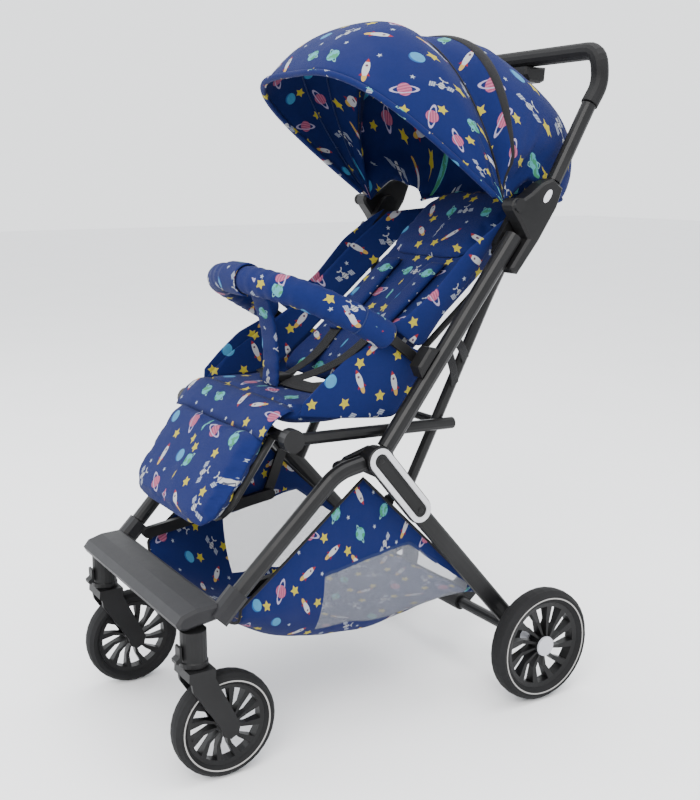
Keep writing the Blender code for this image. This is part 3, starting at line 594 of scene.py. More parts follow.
def spaced(points, count):
    """The same path as count evenly long steps."""
    lengths = run_lengths(points)
    result, i = [], 0
    for n in range(count + 1):
        want = lengths[-1] * n / count
        while i < len(points) - 2 and lengths[i + 1] < want:
            i += 1
        t = (want - lengths[i]) / max(lengths[i + 1] - lengths[i], 1e-9)
        result.append(points[i].lerp(points[i + 1], t))
    return result


def resampled(points, step):
    """The same path in even steps of about the given length."""
    return spaced(points, max(2, round(run_lengths(points)[-1] / step)))


def smooth_path(points, per_span=8):
    """Catmull-Rom curve through world points."""
    keys = [(float(i), *p) for i, p in enumerate(points)]
    total = (len(points) - 1) * per_span
    return [Vector(curve(keys, i / per_span)) for i in range(total + 1)]


def ribbon(points, width, thickness, side=(1, 0, 0)):
    """Flat strap along a path, its width along the given direction."""
    return sweep(points, (width / 2, thickness / 2), 16, 6.0, first_side=Vector(side))


def thicken(obj, thickness, offset=-1.0):
    modifier = obj.modifiers.new("Thickness", "SOLIDIFY")
    modifier.thickness = thickness
    modifier.offset = offset
    return obj


def refine(obj, levels=1):
    modifier = obj.modifiers.new("Subdivision", "SUBSURF")
    modifier.levels = modifier.render_levels = levels
    return obj


def wobble(point, scale, amount, seed=0.0):
    """Smooth seeded noise, for slack cloth."""
    return noise.noise(Vector((point.x * scale + seed, point.y * scale, point.z * scale))) * amount


def grid_patch(lower, upper, rows=10, columns=24, bulge=None, uv_of=None):
    """Sheet between two side-view edges given as (x, (y, z)) lists; bulge(s, t) moves it along X."""
    low = resampled([at(x, p) for x, p in lower], 0.004)
    high = resampled([at(x, p) for x, p in upper], 0.004)

    def along(points, t):
        where = t * (len(points) - 1)
        i = min(int(where), len(points) - 2)
        return points[i].lerp(points[i + 1], where - i)

    grid = []
    for j in range(rows + 1):
        t = j / rows
        row = []
        for i in range(columns + 1):
            s = i / columns
            p = along(low, s).lerp(along(high, s), t)
            if bulge:
                p.x += bulge(s, t)
            row.append(p)
        grid.append(row)
    uv = [[(p.y, p.z) if uv_of is None else uv_of(p) for p in row] for row in grid]
    return sheet_mesh(grid, uv=uv)


def inflate(obj, voxel=0.005, pressure=4.0, cap=0.008, frames=20):
    """Swell a slack closed form as stuffed cloth, keep the result, and round it once."""
    scene = bpy.context.scene
    bpy.ops.object.select_all(action="DESELECT")
    bpy.context.view_layer.objects.active = obj
    obj.select_set(True)
    mesh = obj.data
    remesh = obj.modifiers.new("Voxels", "REMESH")
    remesh.mode = "VOXEL"
    remesh.voxel_size = voxel
    bpy.ops.object.modifier_apply(modifier=remesh.name)
    start = [v.co.copy() for v in mesh.vertices]
    cloth = obj.modifiers.new("Cloth", "CLOTH")
    settings = cloth.settings
    settings.quality = 5
    settings.mass = 0.3
    settings.tension_stiffness = settings.compression_stiffness = 8
    settings.bending_stiffness = 0.8
    settings.use_pressure = True
    settings.uniform_pressure_force = pressure
    settings.effector_weights.gravity = 0
    cloth.point_cache.frame_start, cloth.point_cache.frame_end = 1, frames
    for number in range(1, frames + 1):
        scene.frame_set(number)
    bpy.ops.object.modifier_apply(modifier=cloth.name)
    for vertex, origin in zip(mesh.vertices, start):
        move = vertex.co - origin
        if move.length > cap:
            vertex.co = origin + move.normalized() * cap
    scene.frame_set(1)
    mesh.shade_smooth()
    return refine(obj)


def box_uv(obj, origin, along, across=Vector((1, 0, 0))):
    """Cloth coordinates on a padded form: its two face directions, running on over the sides."""
    mesh = obj.data
    for layer in list(mesh.uv_layers):
        mesh.uv_layers.remove(layer)
    layer = mesh.uv_layers.new(name="cloth")
    along, across = along.normalized(), across.normalized()
    normal = across.cross(along)
    for polygon in mesh.polygons:
        for index in polygon.loop_indices:
            p = mesh.vertices[mesh.loops[index].vertex_index].co - origin
            depth = p.dot(normal)
            layer.data[index].uv = (p.dot(across) + depth * 0.9 * math.copysign(1, p.dot(across)),
                                    p.dot(along) + depth * 0.45)
    return obj


def pad_form(spine, half_widths, half_depths, power=3.4, sides=28):
    """Closed cushion form lofted along a side-view spine."""
    sizes = list(zip(half_widths, half_depths))
    return sweep([at(0, p) for p in spine], sizes, sides, power, first_side=Vector((1, 0, 0)))


def stations(low, high, count):
    return [low + (high - low) * i / (count - 1) for i in range(count)]


# ---------------------------------------------------------------- canopy
FRONT_KEYS = ((35.9, 0.3070, 0.1740, 3.6), (41.0, 0.3070, 0.1770, 3.3), (48.0, 0.3050, 0.1800, 3.1),
              (55.0, 0.2990, 0.1810, 3.0), (62.0, 0.2900, 0.1800, 2.9), (68.5, 0.2740, 0.1780, 2.5),
              (74.0, 0.2545, 0.1750, 2.2), (79.0, 0.2470, 0.1850, 2.4), (83.9, 0.2430, 0.1960, 2.7),
              (88.1, 0.2410, 0.1990, 2.8))
SEAM = 74.0
REAR_KEYS = (                  # foot (y, z), crest (y, z), foot x, half width, power
    (0.0, -0.0520, 0.7480, -0.0440, 0.9888, 0.1740, 0.1990, 2.8),
    (1.0, -0.0120, 0.7800, 0.0180, 0.9420, 0.1740, 0.1880, 3.6),
    (2.0, 0.0240, 0.7720, 0.0800, 0.8930, 0.1720, 0.1770, 4.0),
    (3.0, 0.0400, 0.7650, 0.1080, 0.8450, 0.1680, 0.1710, 4.0),
    (4.0, 0.0420, 0.7560, 0.1080, 0.7900, 0.1620, 0.1660, 4.0),
    (5.0, 0.0400, 0.7470, 0.0930, 0.7570, 0.1560, 0.1620, 4.0))
CANOPY_COLUMNS = 72
RIM = 35.9                     # angle of the canopy's front rim
HOUSING_INNER_X = 0.1740       # the cloth passes inside this near the pivots


def tucked(x, rise, limit=0.0600):
    """Draw the cloth in to pass inside the handle housings near the pivots."""
    return math.copysign(mix(min(abs(x), HOUSING_INNER_X), abs(x), smooth(0.018, limit, rise)), x)


def arch(foot, crest, foot_x, half_width, power, out=0.0):
    """Evenly spaced points over one hoop of the canopy."""
    length = math.dist(foot, crest)
    raw = []
    for i in range(241):
        a = math.pi * i / 240
        c, s = math.cos(a), math.sin(a)
        across = math.copysign(abs(c) ** (2 / power), c)
        rise = abs(s) ** (2 / power)
        x = across * (half_width + out)
        y, z = (mix(low, high, rise * (1 + out / length)) for low, high in zip(foot, crest))
        limit = min(abs(x), mix(foot_x, half_width + out, smooth(0.0, 0.35, rise)))
        raw.append(at(tucked(math.copysign(limit, x), rise * length), (y, z)))
    return spaced(raw, CANOPY_COLUMNS)


def front_arch(angle, out=0.0):
    reach, half_width, power = curve(FRONT_KEYS, angle)
    crest = shift(CANOPY, 180 - angle, reach)
    return arch(CANOPY, crest, min(HOUSING_INNER_X, half_width), half_width, power, out)


def rear_arch(t, out=0.0):
    fy, fz, cy, cz, foot_x, half_width, power = curve(REAR_KEYS, t)
    return arch((fy, fz), (cy, cz), foot_x, half_width, power, out)


def crumple(rows, amount=0.0012, fold=0.0016):
    """Slack in stretched cloth: broad dimples, and folds that run in to the pivots."""
    hub = [at(sign * HOUSING_INNER_X, CANOPY) for sign in (1, -1)]
    for row in rows:
        for p in row:
            centre = at(0, (-0.05, 0.80))
            away = (p - centre).normalized()
            near = min((p - h).length for h in hub)
            angle = math.atan2(p.z - CANOPY[1], p.y - AXLE_Y - CANOPY[0])
            weight = smooth(0.012, 0.05, near) * (1 - smooth(0.07, 0.17, near))
            p += away * (wobble(p, 17.0, amount, 3.1) + weight * fold * math.sin(angle * 26 + p.z * 40))
    return rows


def canopy_uv(rows):
    """Cloth coordinates: across from the middle, along the crest."""
    middle = CANOPY_COLUMNS // 2
    result, along = [], 0.0
    for j, row in enumerate(rows):
        if j:
            along += (row[middle] - rows[j - 1][middle]).length
        across = run_lengths(row)
        result.append([(value - across[middle], along * mix(1.0, 0.45, abs(i - middle) / middle))
                       for i, value in enumerate(across)])
    return result


def build_canopy():
    rows = crumple([front_arch(a) for a in stations(RIM, SEAM, 21)])
    cover = printed("canopy_cover_front", sheet_mesh(rows, uv=canopy_uv(rows)))
    thicken(cover, 0.0010)
    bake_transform(cover)
    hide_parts("canopy_front_fabric")
    hem = finish_piece("canopy_rim_hem", sweep(front_arch(RIM)[2:-2], (0.0048, 0.0042), 12, 2.2), "print",
                       "canopy_front")
    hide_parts("canopy_front_bow")

    rows = [front_arch(a) for a in stations(SEAM, 88.1, 10)]
    rows += [rear_arch(t) for t in stations(0.0, 5.0, 31)[1:]]
    crumple(rows)
    cover = printed("canopy_cover_rear", sheet_mesh(rows, uv=canopy_uv(rows)), "handle")
    thicken(cover, 0.0010)
    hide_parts("canopy_rear_fabric")
    band_rows = [front_arch(a, out) for a, out in (
        (83.6, 0.0004), (84.2, 0.0020), (86.0, 0.0030), (87.4, 0.0020), (88.0, 0.0004))]
    band = finish_piece("canopy_band", sheet_mesh(band_rows), "binding", "handle", 80)
    seam = finish_piece("canopy_seam", sweep(front_arch(SEAM, 0.0006)[1:-1], (0.0013, 0.0013), 8), "binding",
                        "handle")
    tail_hem = finish_piece("canopy_tail_hem", sweep(rear_arch(5.0), (0.0030, 0.0026), 10), "print", "handle")
    for number, angle in enumerate((52.0, 62.0), 1):
        line = front_arch(angle, -0.0022)[3:-3]
        sleeve = finish_piece(f"canopy_inner_line_{number}", sweep(line, (0.0016, 0.0010), 8), "blue", None)
        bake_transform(sleeve)


# ---------------------------------------------------------------- seat
def stuffed(name, spine, half_widths, half_depths, cap, uv_from, uv_along, body, stands_for=None, power=3.4):
    """One stuffed pad: its slack form, swollen, with cloth coordinates and its body."""
    pad = printed(name, pad_form(spine, half_widths, half_depths, power))
    inflate(pad, cap=cap)
    box_uv(pad, at(0, uv_from), uv_along)
    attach(pad, body)
    if stands_for:
        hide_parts(stands_for)


def heading(angle):
    """World direction of a side-view angle."""
    return at(0, shift((0, 0), angle, 1)) - at(0, (0, 0))


def build_pads():
    spine = ((-0.392, 0.4725), (-0.386, 0.4725), (-0.370, 0.4715), (-0.320, 0.4690), (-0.275, 0.4695),
             (-0.260, 0.4705), (-0.254, 0.4710))
    stuffed("seat_pad", spine, (0.132, 0.144, 0.149, 0.150, 0.148, 0.142, 0.130),
            (0.005, 0.0095, 0.0115, 0.0115, 0.0105, 0.0080, 0.0040), 0.006, (-0.32, 0.47), Vector((0, 1, 0)),
            "main_frame", "seat_cushion")

    marks = (0.006, 0.014, 0.035, 0.14, 0.26, 0.36, 0.405, 0.424, 0.432)
    stuffed("backrest_pad", [shift(BACK_BASE, BACK_ANGLE, s) for s in marks],
            (0.120, 0.130, 0.134, 0.1345, 0.1345, 0.132, 0.120, 0.100, 0.080),
            (0.004, 0.0075, 0.0095, 0.0100, 0.0100, 0.0095, 0.0085, 0.0060, 0.0030), 0.006, BACK_BASE,
            heading(BACK_ANGLE), "backrest", "backrest_cushion")

    head_base = shift(BACK_BASE, BACK_ANGLE + 90, 0.0175)
    marks = (0.262, 0.268, 0.285, 0.33, 0.385, 0.412, 0.422)
    stuffed("head_panel", [shift(head_base, BACK_ANGLE, s) for s in marks],
            (0.060, 0.085, 0.108, 0.116, 0.112, 0.098, 0.078),
            (0.003, 0.0050, 0.0065, 0.0070, 0.0065, 0.0050, 0.0028), 0.005, shift(head_base, BACK_ANGLE, 0.017),
            heading(BACK_ANGLE), "backrest")

    base = shift(CALF, CALF_ANGLE - 90, 0.0195)
    marks = (0.006, 0.013, 0.03, 0.08, 0.12, 0.148, 0.163, 0.170)
    stuffed("calf_pad", [shift(base, CALF_ANGLE, s) for s in marks],
            (0.128, 0.137, 0.1405, 0.142, 0.141, 0.133, 0.115, 0.092),
            (0.005, 0.0085, 0.0100, 0.0100, 0.0100, 0.0090, 0.0065, 0.0035), 0.008, base,
            heading(CALF_ANGLE + 180), "calf_rest", "calf_cushion", 3.0)

    bridge_rows = []
    for y, z, half in ((-0.3800, 0.4840, 0.144), (-0.3880, 0.4835, 0.1445), (-0.3980, 0.4800, 0.1445),
                       (-0.4090, 0.4735, 0.1435), (-0.4180, 0.4640, 0.1425), (-0.4235, 0.4560, 0.1420),
                       (-0.4285, 0.4480, 0.1415)):
        shares = [2 * i / 24 - 1 for i in range(25)]
        bridge_rows.append([at(half * share, (y, z - 0.0035 * smooth(0.8, 1.0, abs(share)))) for share in shares])
    bridge = printed("seat_front_fabric", sheet_mesh(bridge_rows))
    thicken(bridge, 0.0014, 0)
    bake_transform(bridge)


LOWER_WING = (((-0.377, 0.474), (-0.3255, 0.465), (-0.2525, 0.457), (-0.227, 0.456), (-0.205, 0.479),
               (-0.175, 0.512), (-0.157, 0.530)),
              ((-0.374, 0.491), (-0.345, 0.518), (-0.311, 0.545), (-0.270, 0.563), (-0.245, 0.566),
               (-0.205, 0.556), (-0.158, 0.533)))
UPPER_WING = (((-0.197, 0.557), (-0.1825, 0.552), (-0.152, 0.590), (-0.091, 0.657), (-0.056, 0.7055),
               (-0.032, 0.731)),
              ((-0.240, 0.588), (-0.212, 0.597), (-0.162, 0.633), (-0.110, 0.686), (-0.057, 0.720),
               (-0.030, 0.733)))


def build_wings():
    """Printed side panels, with a gusset behind them."""
    for side, sign in SIDES.items():
        def edge(widths, places):
            return [(sign * x, p) for x, p in zip(widths, places)]

        for name, (low, high), low_x, high_x, grid in (
                ("lower", LOWER_WING, (0.1525, 0.1535, 0.1545, 0.1555, 0.1565, 0.1590, 0.1600),
                 (0.1560, 0.1590, 0.1605, 0.1610, 0.1605, 0.1600, 0.1600), (12, 30)),
                ("upper", UPPER_WING, (0.160, 0.160, 0.1610, 0.1640, 0.1640, 0.1640),
                 (0.1600, 0.162, 0.1640, 0.1660, 0.1660, 0.1640), (10, 24))):
            wing = printed(f"wing_{name}_{side}", grid_patch(
                edge(low_x, low), edge(high_x, high), *grid,
                bulge=lambda s, t: sign * 0.002 * math.sin(math.pi * s) * math.sin(math.pi * t)), "main_frame")
            thicken(wing, 0.0030, 0)
            refine(wing)
        gusset = printed(f"side_gusset_{side}", grid_patch(
            edge((0.148, 0.146, 0.138, 0.137, 0.135),
                 ((-0.375, 0.478), (-0.262, 0.479), (-0.20, 0.533), (-0.06, 0.651), (0.04, 0.735))),
            edge((0.1500, 0.1505, 0.1520, 0.1550, 0.1550),
                 ((-0.335, 0.512), (-0.275, 0.548), (-0.205, 0.590), (-0.108, 0.672), (-0.030, 0.728))), 12, 32))
        thicken(gusset, 0.0014, 0)
        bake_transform(gusset)


# ---------------------------------------------------------------- bumper bar
BUMPER_ARM = 0.056              # bare arm at each end of the bar, along its path
BUMPER_STEP = 0.004
SEAM_FROM_END = 0.052
BUMPER_PATH = ((0.1685, (-0.199, 0.5385)), (0.1685, (-0.222, 0.556)), (0.169, (-0.248, 0.574)),
               (0.160, (-0.300, 0.604)), (0.130, (-0.350, 0.630)), (0.070, (-0.378, 0.643)), (0.0, (-0.385, 0.646)))


def bumper_line():
    half = [at(x, p) for x, p in BUMPER_PATH]
    whole = half + [Vector((-p.x, p.y, p.z)) for p in reversed(half[:-1])]
    return resampled(smooth_path(whole, 12), BUMPER_STEP)


def build_bumper():
    line = bumper_line()
    start = next(i for i, s in enumerate(run_lengths(line)) if s >= BUMPER_ARM)
    padded_part = line[start:len(line) - start]
    sizes = []
    count = len(padded_part)
    for i in range(count):
        near = min(i, count - 1 - i) * BUMPER_STEP
        r = 0.0202 * (0.80 + 0.20 * smooth(0.0, 0.006, near))
        dip = 0.0012 * math.exp(-((near - SEAM_FROM_END) / 0.0028) ** 2)
        r += 0.0006 * math.sin(i * 1.3) * smooth(0.05, 0.07, near) - dip
        sizes.append((r, r))
    cover = printed("bumper_cover", sweep(padded_part, sizes, 28), "bumper")
    refine(cover)
    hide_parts("bumper_bar")
    in_steps = start + round(SEAM_FROM_END / BUMPER_STEP)
    for number, end in enumerate((in_steps, len(line) - 1 - in_steps), 1):
        tangent = (line[end + 1] - line[end - 1]).normalized()
        side = tangent.cross(Vector((0, 0, 1))).normalized()
        up = side.cross(tangent)
        ring = [line[end] + (side * math.cos(a) + up * math.sin(a)) * 0.0196
                for a in [2 * math.pi * k / 32 for k in range(33)]]
        finish_piece(f"bumper_seam_{number}", sweep(ring, (0.0009, 0.0009), 8, caps=False), "blue", "bumper")
    for side, part in (("left", line[:start + 3]), ("right", line[-start - 3:])):
        finish_piece(f"bumper_arm_{side}", sweep(part, (0.0042, 0.0072), 20, 5.0, first_side=Vector((1, 0, 0))),
                     "plastic", "bumper")

    strap_line = smooth_path([at(0, p) for p in ((-0.3560, 0.6235), (-0.3490, 0.6020), (-0.3420, 0.5750),
                                                 (-0.3380, 0.5400), (-0.3380, 0.5100), (-0.3400, 0.4890))], 8)
    widths = [(mix(0.0260, 0.0230, smooth(0.0, 0.5, i / (len(strap_line) - 1))) + 0.0008 * math.sin(i * 1.7),
               0.0038 + 0.0008 * math.sin(i * 0.9)) for i in range(len(strap_line))]
    strap = printed("crotch_strap_cover", sweep(strap_line, widths, 20, 3.0, first_side=Vector((1, 0, 0))))
    loop_line = [at(0, shift(BUMPER_PATH[-1][1], 15.0 * k, 0.0222)) for k in range(25)]
    printed("crotch_strap_loop", sweep(loop_line, (0.0250, 0.0016), 16, 5.0, caps=False,
                                       first_side=Vector((1, 0, 0))), "bumper")
    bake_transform(strap)
    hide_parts("crotch_strap")


# ---------------------------------------------------------------- harness
def build_harness():
    def on_back(x, s, lift):
        return at(x, shift(shift(BACK_BASE, BACK_ANGLE, s), BACK_ANGLE + 90, lift))

    for side, sign in SIDES.items():
        line = smooth_path([on_back(sign * 0.060, 0.262, 0.0120), on_back(sign * 0.058, 0.240, 0.0200),
                            on_back(sign * 0.055, 0.180, 0.0190), on_back(sign * 0.048, 0.100, 0.0180),
                            on_back(sign * 0.036, 0.040, 0.0200), at(sign * 0.022, (-0.290, 0.5010)),
                            at(sign * 0.014, (-0.322, 0.4960))], 8)
        strap = finish_piece(f"shoulder_strap_{side}", ribbon(line, 0.025, 0.0016), "webbing", None,
                             80)
        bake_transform(strap)
        part = line[5:26]
        ends = [min(i, len(part) - 1 - i) for i in range(len(part))]
        sizes = [(0.0195 * (0.82 + 0.18 * smooth(0, 3, end)), 0.0052 * (0.5 + 0.5 * smooth(0, 2, end)))
                 for end in ends]
        pad = printed(f"shoulder_pad_{side}", sweep([p + Vector((0, -0.0018, 0.0024)) for p in part], sizes, 20,
                                                    3.0, first_side=Vector((1, 0, 0))), "backrest")
        refine(pad)
        lap = smooth_path([at(sign * 0.136, (-0.280, 0.4880)), at(sign * 0.100, (-0.292, 0.4900)),
                           at(sign * 0.060, (-0.312, 0.4925)), at(sign * 0.018, (-0.324, 0.4960))], 8)
        finish_piece(f"lap_strap_{side}", ribbon(lap, 0.025, 0.0016, side=(0, 1, 0.3)), "webbing", "main_frame",
                     80)
    half_x, half_y = 0.0185, 0.0165
    end, middle = (half_y * 0.8, 0.0040), (half_y, 0.0060)
    line = [at(x, (-0.326, 0.4990)) for x in (-half_x, -half_x + 0.003, half_x - 0.003, half_x)]
    refine(finish_piece("harness_buckle", sweep(line, [end, middle, middle, end], 24, 3.5,
                                                first_side=Vector((0, 1, 0))),
                        "plastic", "main_frame"))


# ---------------------------------------------------------------- basket
BASKET = (                     # y, rim height, rim half width, floor height, floor half width
    (-0.4750, 0.2250, 0.1625, 0.190, 0.115), (-0.4000, 0.2820, 0.1660, 0.150, 0.118),
    (-0.3300, 0.3400, 0.1665, 0.134, 0.120), (-0.2850, 0.3780, 0.1668, 0.129, 0.120),
    (-0.2300, 0.3190, 0.1668, 0.128, 0.120), (-0.1500, 0.2280, 0.1665, 0.142, 0.118),
    (-0.0750, 0.1700, 0.1660, 0.160, 0.116))
NET_Y = (-0.345, -0.095)
FLOOR_STEPS, NET_STEPS, SIDE_STEPS = 12, 8, 10
FRONT_Y, TOP_Y, REAR_Y = BASKET[0][0], -0.2850, BASKET[-1][0]


def net_line(y):
    """Upper edge of the side net."""
    return curve(((-0.50, 0.236), (-0.386, 0.239), (-0.339, 0.247), (-0.23, 0.266), (-0.15, 0.280)), y)[0]


def basket_section(y):
    """Half section from the middle of the floor out and up to the rim, with points on the edges of the net."""
    if y <= TOP_Y:
        rim_z = mix(0.2250, 0.3780, (y - FRONT_Y) / 0.19)
    else:
        rim_z = mix(0.3780, 0.1700, (y - TOP_Y) / 0.21)
    _, rim_x, floor_z, floor_x = curve(BASKET, y)
    sag = 0.006 * math.cos(math.pi * min(abs((y + 0.275) / 0.2), 1) / 2)
    points = [(0.0, floor_z - sag), (floor_x * 0.55, floor_z - sag * 0.6), (floor_x * 0.92, floor_z + 0.002),
              (floor_x + 0.020, floor_z + 0.016 * (rim_z - floor_z) / 0.1),
              (rim_x - 0.008, mix(floor_z, rim_z, 0.40)), (rim_x - 0.002, mix(floor_z, rim_z, 0.72)), (rim_x, rim_z)]
    line = spaced(smooth_path([Vector((x, 0, z)) for x, z in points], 10), 200)
    low = floor_z + 0.10 * (rim_z - floor_z)
    high = min(net_line(y), mix(low, rim_z, 0.80))
    first = next(i for i, p in enumerate(line) if p.x > floor_x * 0.7 and p.z >= low)
    second = max(next(i for i, p in enumerate(line) if i > first and p.z >= high), first + 2)
    second = min(second, 198)
    parts = spaced(line[:first + 1], FLOOR_STEPS) + spaced(line[first:second + 1], NET_STEPS)[1:] \
        + spaced(line[second:], SIDE_STEPS)[1:]
    return [Vector((p.x, y + AXLE_Y, p.z)) for p in parts]


def basket_row(y):
    """Whole section, from rim to rim."""
    half = basket_section(y)
    return [Vector((-p.x, p.y, p.z)) for p in reversed(half[1:])] + half


def fold_flat(piece):
    """Give a piece of the basket its own copy of its mesh data."""
    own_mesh(piece)


def build_basket():
    ys = sorted(set([round(v, 4) for v in stations(FRONT_Y, REAR_Y, 41)] + [TOP_Y]))
    columns = FLOOR_STEPS + NET_STEPS + SIDE_STEPS
    rows = []
    for y in ys:
        row = basket_row(y)
        for p in row:
            p += Vector((0, 0, 1)) * wobble(p, 24.0, 0.0018, 8.0)
            p.x += math.copysign(wobble(p, 30.0, 0.0016, 2.0), p.x) * smooth(0.02, 0.1, abs(p.x))
        rows.append(row)
    bm = sheet_mesh(rows)
    bm.faces.ensure_lookup_table()
    per_row = 2 * columns
    for number, face in enumerate(bm.faces):
        row, column = divmod(number, per_row)
        out = abs(column + 0.5 - columns)
        y = (ys[row] + ys[row + 1]) / 2
        face.material_index = int(FLOOR_STEPS < out < FLOOR_STEPS + NET_STEPS and NET_Y[0] < y < NET_Y[1])
    basket = finish_piece("basket_cloth", bm, ["print", "net"], "main_frame", 80)
    thicken(basket, 0.0012, 0)
    fold_flat(basket)
    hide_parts("basket")
    for side, sign in SIDES.items():
        line = [Vector((sign * p.x, p.y, p.z)) for p in (basket_section(y)[-1] for y in ys)]
        fold_flat(finish_piece(f"basket_rim_{side}", sweep(line, (0.0018, 0.0022), 10), "binding", "main_frame"))
        line = [basket_section(y)[FLOOR_STEPS + NET_STEPS] for y in ys if NET_Y[0] - 0.006 < y < -0.15]
        line = [Vector((sign * (p.x + 0.0005), p.y, p.z)) for p in line]
        fold_flat(finish_piece(f"basket_binding_{side}", sweep(line, (0.0010, 0.0024), 10, 3.0), "blue",
                               "main_frame"))
    for name, y in (("front", FRONT_Y), ("rear", REAR_Y)):
        fold_flat(finish_piece(f"basket_edge_{name}", sweep(basket_row(y), (0.0022, 0.0020), 10), "binding",
                               "main_frame"))


# ---------------------------------------------------------------- trim
def surface_x(node, yz, sign):
    """Outer face of a CAD node at a side-view place."""
    obj = NODES[node]
    hit, where, _, _ = obj.ray_cast(at(sign * 0.5, yz), Vector((-sign, 0, 0)))
    return abs(where.x) if hit else None


def ring_line(centre, radius, steps=72):
    return [shift(centre, 360 * k / steps, radius) for k in range(steps)]


def stadium_line(a, b, radius, steps=14):
    lean = direction(a, b)
    return [shift(centre, first + 180 * k / steps, radius) for centre, first in ((b, lean - 90), (a, lean + 90))
            for k in range(steps + 1)]


def flat_ring(line, x, sign, half_width, height):
    """Raised ring lying on a side face."""
    points = [at(sign * x, p) for p in line]
    count = len(points)
    rows = []
    for i in range(count + 1):
        p, before, after = points[i % count], points[(i - 1) % count], points[(i + 1) % count]
        tangent = (after - before).normalized()
        out = tangent.cross(Vector((sign, 0, 0))).normalized()
        row = []
        for u, v in ((-1, 0), (-0.85, 1), (0.85, 1), (1, 0), (0.85, -0.3), (-0.85, -0.3)):
            row.append(p + out * (u * half_width) + Vector((sign * v * height, 0, 0)))
        rows.append(row)
    return sheet_mesh(rows, around=True)


def dome(name, x, yz, sign, radius, height, look, body, stretch=1.0, turn=0.0, steps=28):
    """Low round or oval button on a side face."""
    rows = []
    for r, h in ((1.0, -0.2), (1.0, 0.55), (0.90, 0.85), (0.6, 1.0), (0.02, 1.0)):
        row = []
        for k in range(steps):
            a = 2 * math.pi * k / steps
            u, v = radius * r * math.cos(a) * stretch, radius * r * math.sin(a)
            row.append(at(sign * (x + height * h), (yz[0] + u * math.cos(turn) - v * math.sin(turn),
                                                    yz[1] + u * math.sin(turn) + v * math.cos(turn))))
        rows.append(row)
    return finish_piece(name, sheet_mesh(rows, around=True, caps=True), look, body, 40)


def build_trim():
    plate_a, plate_b = (-0.284, 0.412), (-0.218, 0.332)
    for side, sign in SIDES.items():
        face = surface_x(f"hub_plate_{side}", (-0.251, 0.372), sign)
        finish_piece(f"hub_ring_{side}", flat_ring(stadium_line(plate_a, plate_b, 0.0138), face, sign, 0.0040, 0.0012),
                     "trim", "rear_frame", 40)
        finish_piece(f"hub_inset_{side}", flat_ring(stadium_line(plate_a, plate_b, 0.0072), face, sign, 0.0009,
                                                    0.0004), "plastic", "rear_frame", 40)
        oval = (0.0010, 0.7600)
        face = surface_x(f"handle_housing_{side}", oval, sign)
        if face:
            dome(f"housing_badge_{side}", face, oval, sign, 0.0052, 0.0010, "white", "handle", 2.1,
                 math.radians(52))
        for kind, wheel, radius, body in (("rear", pivot(f"rear_wheel_spin_{side}"), 0.0754, f"rear_wheel_{side}"),
                                          ("front", pivot(f"front_wheel_spin_{side}"), 0.0626,
                                           f"front_wheel_{side}")):
            outer = surface_x(f"{kind}_tyre_{side}", (wheel[0], wheel[1] + radius), sign)
            if outer:
                finish_piece(f"{kind}_wheel_stripe_{side}", flat_ring(ring_line(wheel, radius), outer, sign,
                                                                      0.0011, 0.0004), "stripe", body, 40)
        for number, yz in enumerate(((-0.2840, 0.4120), (-0.2180, 0.3320)), 1):
            face = surface_x(f"hub_plate_{side}", yz, sign)
            dome(f"hub_rivet_{number}_{side}", face, yz, sign, 0.0042, 0.0010, "plastic", "rear_frame")
        for number, (tube, rail) in enumerate((((-0.132, 0.560), (-0.104, 0.528)),
                                               ((-0.146, 0.5435), (-0.123, 0.4935))), 1):
            middle = tuple((a + b) / 2 for a, b in zip(tube, rail))
            line = smooth_path([at(sign * 0.1745, tube), at(sign * 0.170, middle), at(sign * 0.160, rail)], 8)
            finish_piece(f"frame_strap_{number}_{side}", ribbon(line, 0.014, 0.0016, (0, 0.8, 0.6)),
                         "webbing", "main_frame", 80)


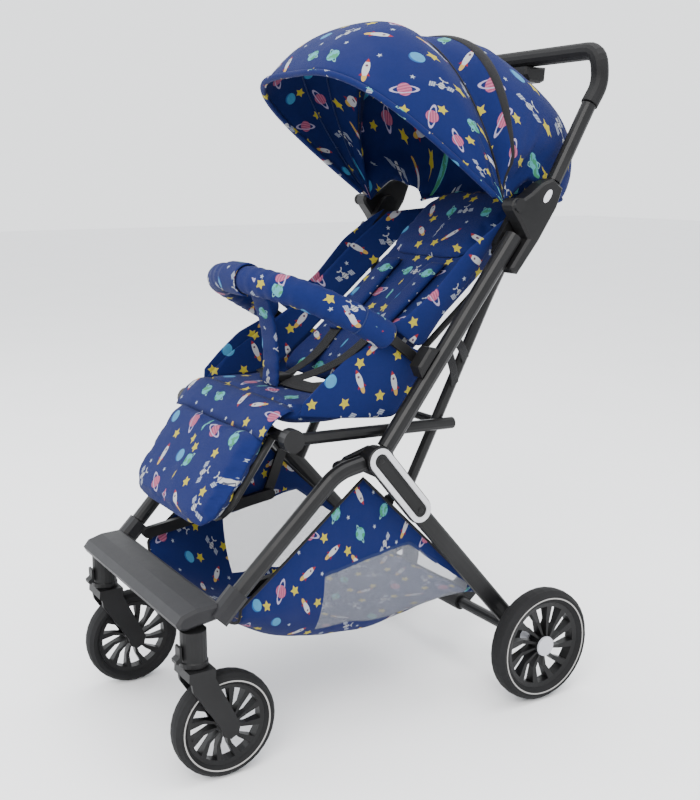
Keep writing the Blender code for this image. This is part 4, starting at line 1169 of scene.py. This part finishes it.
# ---------------------------------------------------------------- stage, light, camera
def build_stage():
    floor_mesh = bmesh.new()
    bmesh.ops.create_grid(floor_mesh, x_segments=1, y_segments=1, size=14)
    mesh = bpy.data.meshes.new("floor")
    floor_mesh.to_mesh(mesh)
    floor_mesh.free()
    floor = bpy.data.objects.new("floor", mesh)
    floor.location.z = -0.0006
    made, g, shader = new_material("floor_paper")
    where = surface_vector(g)
    g.put(g.blend(g.noise(where, 3.0, 3.0), (0.86, 0.86, 0.87, 1), (0.90, 0.90, 0.905, 1)),
          shader.inputs["Base Color"])
    shader.inputs["Roughness"].default_value = 0.9
    mesh.materials.append(made)
    bpy.context.scene.collection.objects.link(floor)

    world = bpy.data.worlds.new("studio")
    bpy.context.scene.world = world
    world.use_nodes = True
    world.node_tree.nodes["Background"].inputs["Color"].default_value = (0.96, 0.98, 1.0, 1)
    world.node_tree.nodes["Background"].inputs["Strength"].default_value = 2.0

    for name, place, aim, size, power, tone in (
            ("key", (2.2, -2.0, 2.8), (0, 0, 0.5), 2.2, 150, (1, 0.98, 0.95)),
            ("fill", (-2.4, -2.2, 1.8), (0, 0, 0.5), 2.5, 45, (0.94, 0.97, 1)),
            ("top", (0.2, 0.3, 3.4), (0, 0, 0.4), 2.6, 90, (1, 1, 1))):
        data = bpy.data.lights.new(name, "AREA")
        data.size, data.energy, data.color = size, power, tone
        lamp = bpy.data.objects.new(name, data)
        lamp.location = place
        lamp.rotation_euler = (Vector(aim) - Vector(place)).to_track_quat("-Z", "Y").to_euler()
        bpy.context.scene.collection.objects.link(lamp)


def build_camera():
    data = bpy.data.cameras.new("camera")
    data.lens = 49.456
    data.sensor_width = 36
    data.shift_x, data.shift_y = 0.0007, -0.0041
    data.clip_end = 60
    data.dof.use_dof = False
    camera = bpy.data.objects.new("camera", data)
    right = Vector((0.5303, 0.8478, 0)).normalized()
    forward = Vector((-0.8307, 0.5196, -0.2001)).normalized()
    up = right.cross(forward).normalized()
    turned = Matrix((right, up, -forward)).transposed().to_4x4()
    camera.matrix_world = Matrix.Translation((1.4031, -1.0805 + AXLE_Y, 0.7934)) @ turned
    bpy.context.scene.collection.objects.link(camera)
    bpy.context.scene.camera = camera


dress_cad()
build_canopy()
build_pads()
build_wings()
build_bumper()
build_harness()
build_basket()
build_trim()
build_stage()
build_camera()
